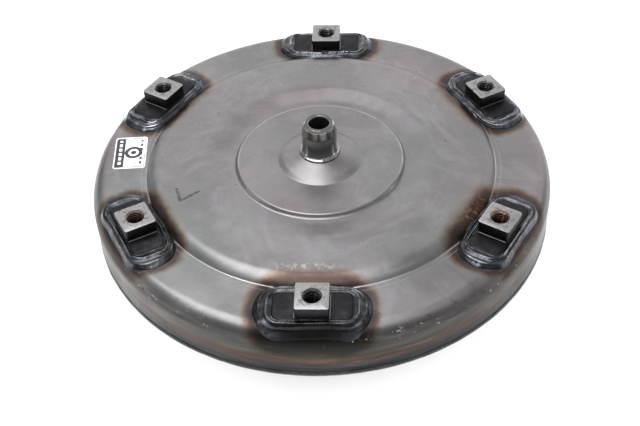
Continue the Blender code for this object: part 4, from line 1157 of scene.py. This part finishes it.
def round_bead(name, outline, node, facets, size, seed, darkening=0.0):
    """A weld bead that runs round the axis, with ripples across it and lumps along it."""

    def rippled(radius, angle, height):
        run = radius * angle
        x, y = radius * math.cos(angle), radius * math.sin(angle)
        lift = size * 0.35 * math.sin(math.tau * (run / 0.0030 + 60.0 * height))
        lift += size * wave(x, y, height, 0.0090, seed) + size * 0.6 * wave(x, y, height, 0.030, seed + 1.0)
        return radius + lift, height + 0.6 * lift

    obj = turned(name, divided(filleted(outline, 0.0005), 0.0006), WELD, facets, rippled, BEAD_EDGE)
    add_values(obj.data, {"soot_and_shade": [darkening] * len(obj.data.vertices)})
    return stands_for(obj, "weld_metal", node)


def closing_weld():
    """The bead between the cover's rim and the impeller shell, darkened almost to black."""
    shell = TORUS_RADIUS + IMPELLER_REACH - 0.0004
    bead = [
        (-0.0008, 0.0002, 0.0),
        (0.0001, 0.0002, 0.0005),
        (0.0005, -0.0020, 0.0022),
        (-0.0003, -0.0042, 0.0022),
    ]
    root = [(0.0010, -0.0060, 0.0010), (0.0, -0.0060, 0.0), (0.0, 0.0002, 0.0)]
    outline = moved(bead, BODY_RADIUS, COVER_RIM) + moved(root, shell, COVER_RIM)
    return round_bead("closing_bead", outline, "closing_weld", 720, 0.00022, 4.0, 0.80)


def hub_weld():
    """The bead between the impeller shell and the hub's flange."""
    bead = [
        (0.0034, 0.0008, 0.0),
        (0.0028, 0.0002, 0.0006),
        (0.0008, -0.0013, 0.0016),
        (-0.0010, -0.0011, 0.0010),
        (-0.0024, 0.0002, 0.0),
        (-0.0024, 0.0008, 0.0),
    ]
    outline = moved(bead, HUB_FLANGE_RADIUS, HUB_FLANGE_LOW)
    return round_bead("hub_bead", outline, "hub_weld", 260, 0.00016, 6.0)


# ---------------------------------------------------------------- impeller shell and hub
def impeller_shell():
    """The rear bowl: half of a flattened torus, a flat round the hub, and dents that hold the blades."""
    neck = HUB_FLANGE_RADIUS + 0.0001
    flat = HUB_FLANGE_LOW + 0.0005
    inner_flat = flat + IMPELLER_SHEET
    rim = TORUS_RADIUS + IMPELLER_REACH
    lip = COVER_RIM + 0.0080

    def bowl(reach, depth, start, end):
        steps = 40
        result = []
        for step in range(steps + 1):
            angle = math.radians(start + (end - start) * step / steps)
            radius = TORUS_RADIUS + reach * math.cos(angle)
            result.append(Vector((radius, IMPELLER_MID + depth * math.sin(angle))))
        return result

    outside = [Vector((rim, lip))] + bowl(IMPELLER_REACH, IMPELLER_DEPTH, 0, -128)
    end = [(neck, flat, 0.0), (neck, inner_flat, 0.0)]
    bend = filleted([(*outside[-1], 0.0), (0.0655, flat, 0.0060), *end])
    inner = bowl(IMPELLER_REACH - IMPELLER_SHEET, IMPELLER_DEPTH - IMPELLER_SHEET, 0, -126)
    inner_bend = filleted([(*inner[-1], 0.0), (0.0665, inner_flat, 0.0040), *end[::-1]])
    outline = outside + bend[1:-1] + [Vector((neck, inner_flat))] + inner_bend[1:-2][::-1]
    outline = divided(outline + inner[::-1] + [Vector((rim - IMPELLER_SHEET, lip))], 0.0016)
    pitch = math.tau / IMPELLER_BLADES
    dents = [(0.1330, 0.0040), (0.1120, 0.0046), (0.0880, 0.0042)]

    def dented(radius, angle, height):
        """Three dents behind each blade hold its tabs."""
        middle = (radius - TORUS_RADIUS) / IMPELLER_REACH, (height - IMPELLER_MID) / IMPELLER_DEPTH
        if math.hypot(*middle) < 0.97 or middle[1] > -0.2:
            return radius, height
        sweep = math.radians(-14) * (0.1467 - radius) / 0.083
        offset = (angle - sweep + pitch / 2) % pitch - pitch / 2
        side = bell(offset * radius / 0.0014, 0.0, 1.0, 4)
        push = sum(0.0006 * side * bell(radius, place, half, 4) for place, half in dents)
        return radius - push * middle[0], height - push * middle[1]

    obj = turned("impeller_bowl", outline, SHELL, IMPELLER_BLADES * 34, dented)
    return stands_for(obj, "shell_steel", "impeller_shell")


def impeller_hub():
    """The hub tube with its flange, and the two slots in its end that drive the pump."""
    outline = [
        (HUB_FLANGE_RADIUS, HUB_FLANGE_TOP, 0.0003),
        (HUB_FLANGE_RADIUS, HUB_FLANGE_LOW, 0.0003),
        (HUB_RADIUS, HUB_FLANGE_LOW, 0.0030),
        (HUB_RADIUS, 0.0, 0.0010),
        (HUB_BORE_RADIUS, 0.0, 0.0007),
        (HUB_BORE_RADIUS, HUB_FLANGE_TOP, 0.0005),
    ]
    hub = turned("hub_tube", filleted(outline, 0.0006), MACHINED, 160)
    reach, half = 0.0400, PUMP_SLOT_WIDTH / 2
    slot_shape = [(-reach, -half), (reach, -half), (reach, half), (-reach, half)]
    hub = combined(hub, prism("pump_slot", slot_shape, -0.0200, PUMP_SLOT_DEPTH, MACHINED), "DIFFERENCE")
    shaded(hub.data, CUT_EDGE)
    return stands_for(hub, "machined_steel", "impeller_hub")


def balance_weight(index, angle):
    """A small plate welded under the shell's flat, this far round the axis."""
    top = HUB_FLANGE_LOW + 0.0005
    outline = rounded_rectangle(0.0110, 0.0240, 0.0020, 6, 1, 1)
    obj = bevelled(prism(f"balance_plate_{index}", outline, top - 0.0028, top + 0.0002, SHELL), 0.0005, 3)
    obj.data.transform(Matrix.Rotation(angle, 4, "Z") @ Matrix.Translation((0.0520, 0.0, 0.0)))
    return stands_for(obj, "shell_steel", f"balance_weight_{index}")


# ---------------------------------------------------------------- label, paint mark and spatter
def label():
    """A printed film on the lug ring; it bends over the shoulder where it reaches that far."""
    width, length, corner = 0.0215, 0.0318, 0.0018
    middle = Vector((-0.1279, 0.0175))
    turn = Matrix.Rotation(math.radians(0.6), 2)
    levels = (-0.00008, 0.00016)    # of its lower and upper sides above the cover
    columns, rows = 22, 32
    points, across, along = [], [], []
    for level in levels:
        for row in range(rows + 1):
            for column in range(columns + 1):
                u, v = column / columns - 0.5, row / rows - 0.5
                x, y = u * width, v * length
                inset_x = max(0.0, abs(x) - (width / 2 - corner))
                inset_y = max(0.0, abs(y) - (length / 2 - corner))
                reach = max(1.0, math.hypot(inset_x, inset_y) / max(inset_x, inset_y, TINY))
                x -= math.copysign(inset_x * (1 - 1 / reach), x)
                y -= math.copysign(inset_y * (1 - 1 / reach), y)
                place = middle + turn @ Vector((x, y))
                points.append((*place, cover_height(place.length) + level))
                across.append(u)
                along.append(v)
    size = (rows + 1) * (columns + 1)
    faces = []
    for row in range(rows):
        for column in range(columns):
            a = row * (columns + 1) + column
            b, c, d = a + 1, a + columns + 2, a + columns + 1
            faces += [(a, d, c, b), (size + a, size + b, size + c, size + d)]
    border = list(range(columns + 1))
    border += [row * (columns + 1) + columns for row in range(1, rows + 1)]
    border += [rows * (columns + 1) + column for column in range(columns - 1, -1, -1)]
    border += [row * (columns + 1) for row in range(rows - 1, 0, -1)]
    for a, b in zip(border, border[1:] + border[:1]):
        faces.append((a, b, size + b, size + a))
    mesh = bpy.data.meshes.new("label_film")
    mesh.from_pydata(points, [], faces)
    add_values(mesh, {"across": across, "along": along})
    mesh.materials.append(label_finish())
    shaded(mesh, SHARP_EDGE)
    return stands_for(linked("label_film", mesh), "cover_steel")


def paint_mark():
    """An inspector's tick, drawn with a broad paint pen on the cover."""
    route = [Vector((-0.0935, -0.0255)), Vector((-0.0905, -0.0375)), Vector((-0.0785, -0.0290))]
    steps = 14
    path = [start.lerp(end, step / steps) for start, end in zip(route, route[1:]) for step in range(steps)]
    path.append(route[-1])
    edge, top, bottom = 0.00002, 0.00014, -0.00012
    section = ((-1, edge), (-0.6, top), (0.6, top), (1, edge), (1, bottom), (-1, bottom))
    points = []
    for number, place in enumerate(path):
        before = path[max(0, number - 1)]
        after = path[min(len(path) - 1, number + 1)]
        way = (after - before).normalized()
        side = Vector((-way.y, way.x))
        half = 0.0008 + 0.0003 * wave(*place, 0.0, 0.004, 9.0)
        half += 0.0003 * math.sin(number / len(path) * math.pi)
        for share, level in section:
            spot = place + side * (share * half)
            points.append((*spot, cover_height(spot.length) + level))
    faces = tube_faces(len(path), len(section))
    return stands_for(new_object("paint_tick", points, faces, paint_finish(), BEAD_EDGE), "cover_steel")


def spatter():
    """Drops of weld metal stuck near the welds, and one cluster at the back lug."""
    mesh = bpy.data.meshes.new("weld_spatter")
    edit = bmesh.new()
    drops = []
    centre, out, along = lug_axes(0)
    cluster = centre - out * 0.0128 + along * 0.0010
    for number in range(CLUSTER_DROPS):
        place = cluster + on_circle(0.0015, math.tau * number / CLUSTER_DROPS)
        drops.append((place, 0.00085, LUG_PLATE_TOP + 0.0004))
    for number in range(SPATTER_DROPS):
        index = number % LUG_COUNT
        centre, out, along = lug_axes(index)
        swing = GOLDEN_ANGLE * number
        distance = 1.06 + 0.30 * abs(wave(number, 0.3, 0.7, 1.7, 5.0))
        offset = along * (math.cos(swing) * 0.036 * distance) + out * (math.sin(swing) * 0.0185 * distance)
        place = centre + offset
        size = 0.00022 + 0.00022 * abs(wave(number, 1.1, 0.2, 1.3, 6.0))
        drops.append((place, size, cover_height(place.length)))
    for place, size, base in drops:
        if place.length > BODY_RADIUS - 0.004:
            continue
        start = len(edit.verts)
        bmesh.ops.create_icosphere(edit, subdivisions=2, radius=size)
        edit.verts.ensure_lookup_table()
        for vertex in edit.verts[start:]:
            x, y, z = vertex.co
            vertex.co = Vector((x + place.x, y + place.y, 0.7 * z + base + 0.2 * size))
    edit.to_mesh(mesh)
    edit.free()
    mesh.materials.append(WELD)
    mesh.shade_smooth()
    return stands_for(linked("weld_spatter", mesh), "weld_metal")


# ---------------------------------------------------------------- the pieces inside
def dress_inner_nodes():
    """Finishes for the CAD nodes that stay, by how their names start; the first match counts."""
    finishes = {
        SPRING: ("damper_spring",),
        MACHINED: ("turbine_hub", "turbine_rivet", "damper_pin", "piston_drive_ring"),
        INNER_SHEET: ("impeller_blades", "turbine_shell", "turbine_blades", "damper", "lockup_piston"),
        RUBBER: ("piston_seal",),
        BRONZE: ("turbine_thrust_washer",),
        FIBRE: ("friction_lining",),
        BEARING: ("one_way", "sprag_cage", "stator_rear_race", "stator_front_race", "rear_b", "front_b"),
        ALUMINIUM: ("stator",),
    }
    for name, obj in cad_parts.items():
        for finish, starts in finishes.items():
            if name.startswith(starts):
                for slot in obj.material_slots:
                    slot.material = finish
                break


cover()
pilot()
lugs()
for number in range(LUG_COUNT):
    lug_weld(number)
closing_weld()
hub_weld()
impeller_shell()
impeller_hub()
balance_weight(1, math.radians(20))
balance_weight(2, math.radians(74))
label()
paint_mark()
spatter()
dress_inner_nodes()


# ---------------------------------------------------------------- floor, light and camera
def floor():
    """A plain pale floor, much wider than the view."""
    look = Finish("studio_floor", 0.0)
    look.colour = look.noise(6.0, 3.0).ramp((0.3, 0.86), (0.7, 0.89))
    look.rough = 0.85
    mesh = bpy.data.meshes.new("studio_floor")
    edit = bmesh.new()
    bmesh.ops.create_grid(edit, x_segments=8, y_segments=8, size=6.0)
    edit.to_mesh(mesh)
    edit.free()
    mesh.materials.append(look.done())
    linked("studio_floor", mesh)


def softbox(name, place, target, width, depth, power):
    """A rectangular light that looks at the target."""
    light = bpy.data.lights.new(name, "AREA")
    light.shape = "RECTANGLE"
    light.size = width
    light.size_y = depth
    light.energy = power
    obj = linked(name, light)
    obj.location = place
    obj.rotation_euler = (Vector(target) - Vector(place)).to_track_quat("-Z", "Y").to_euler()
    return obj


def lights():
    """Soft boxes to be mirrored in the metal, and fill lights that only whiten the floor."""
    middle = (0.0, 0.0, LUG_FACE)
    softbox("overhead", (-0.28, -0.02, 1.30), middle, 1.30, 0.80, 9.4)
    softbox("back", (0.32, 1.70, 0.76), middle, 3.60, 1.95, 14.2)
    softbox("front", (0.05, -0.62, 1.45), middle, 0.30, 0.10, 0.8)
    for side in (-1, 1):
        softbox(f"glint_{side}", (side * 0.62, -0.46, 1.32), middle, 0.16, 0.08, 0.35)
        strip = softbox(f"strip_{side}", (side * 1.50, 0.03, 0.25), middle, 0.25, 0.35, 1.1)
        strip.visible_diffuse = False
    for name, x, y in (("front", 0.0, -2.2), ("left", -2.0, -0.6), ("right", 2.0, -0.6)):
        fill = softbox(f"{name}_fill", (x, y, 1.5), (0.0, -0.2, 0.0), 2.0, 2.0, 55.0)
        fill.visible_glossy = False
    world = bpy.data.worlds.new("studio")
    world.use_nodes = True
    background = world.node_tree.nodes["Background"]
    background.inputs["Color"].default_value = (1.0, 1.0, 1.0, 1.0)
    background.inputs["Strength"].default_value = 0.38
    bpy.context.scene.world = world


CAMERA_PLACE = Vector((0.0, -0.5654, 0.6092))
CAMERA_TARGET = Vector((-0.0019, 0.0, 0.0645))
CAMERA_ROLL = math.radians(2.684)
CAMERA_LENS = 63.73


def camera():
    """The photograph's view: from the front and above, rolled by a few degrees."""
    data = bpy.data.cameras.new("camera")
    data.lens = CAMERA_LENS
    data.sensor_width = 36.0
    data.clip_start = 0.01
    obj = linked("camera", data)
    look = (CAMERA_TARGET - CAMERA_PLACE).to_track_quat("-Z", "Y").to_matrix().to_4x4()
    obj.matrix_world = Matrix.Translation(CAMERA_PLACE) @ look @ Matrix.Rotation(-CAMERA_ROLL, 4, "Z")
    bpy.context.scene.camera = obj


floor()
lights()
camera()
bpy.context.scene.view_settings.view_transform = "Standard"
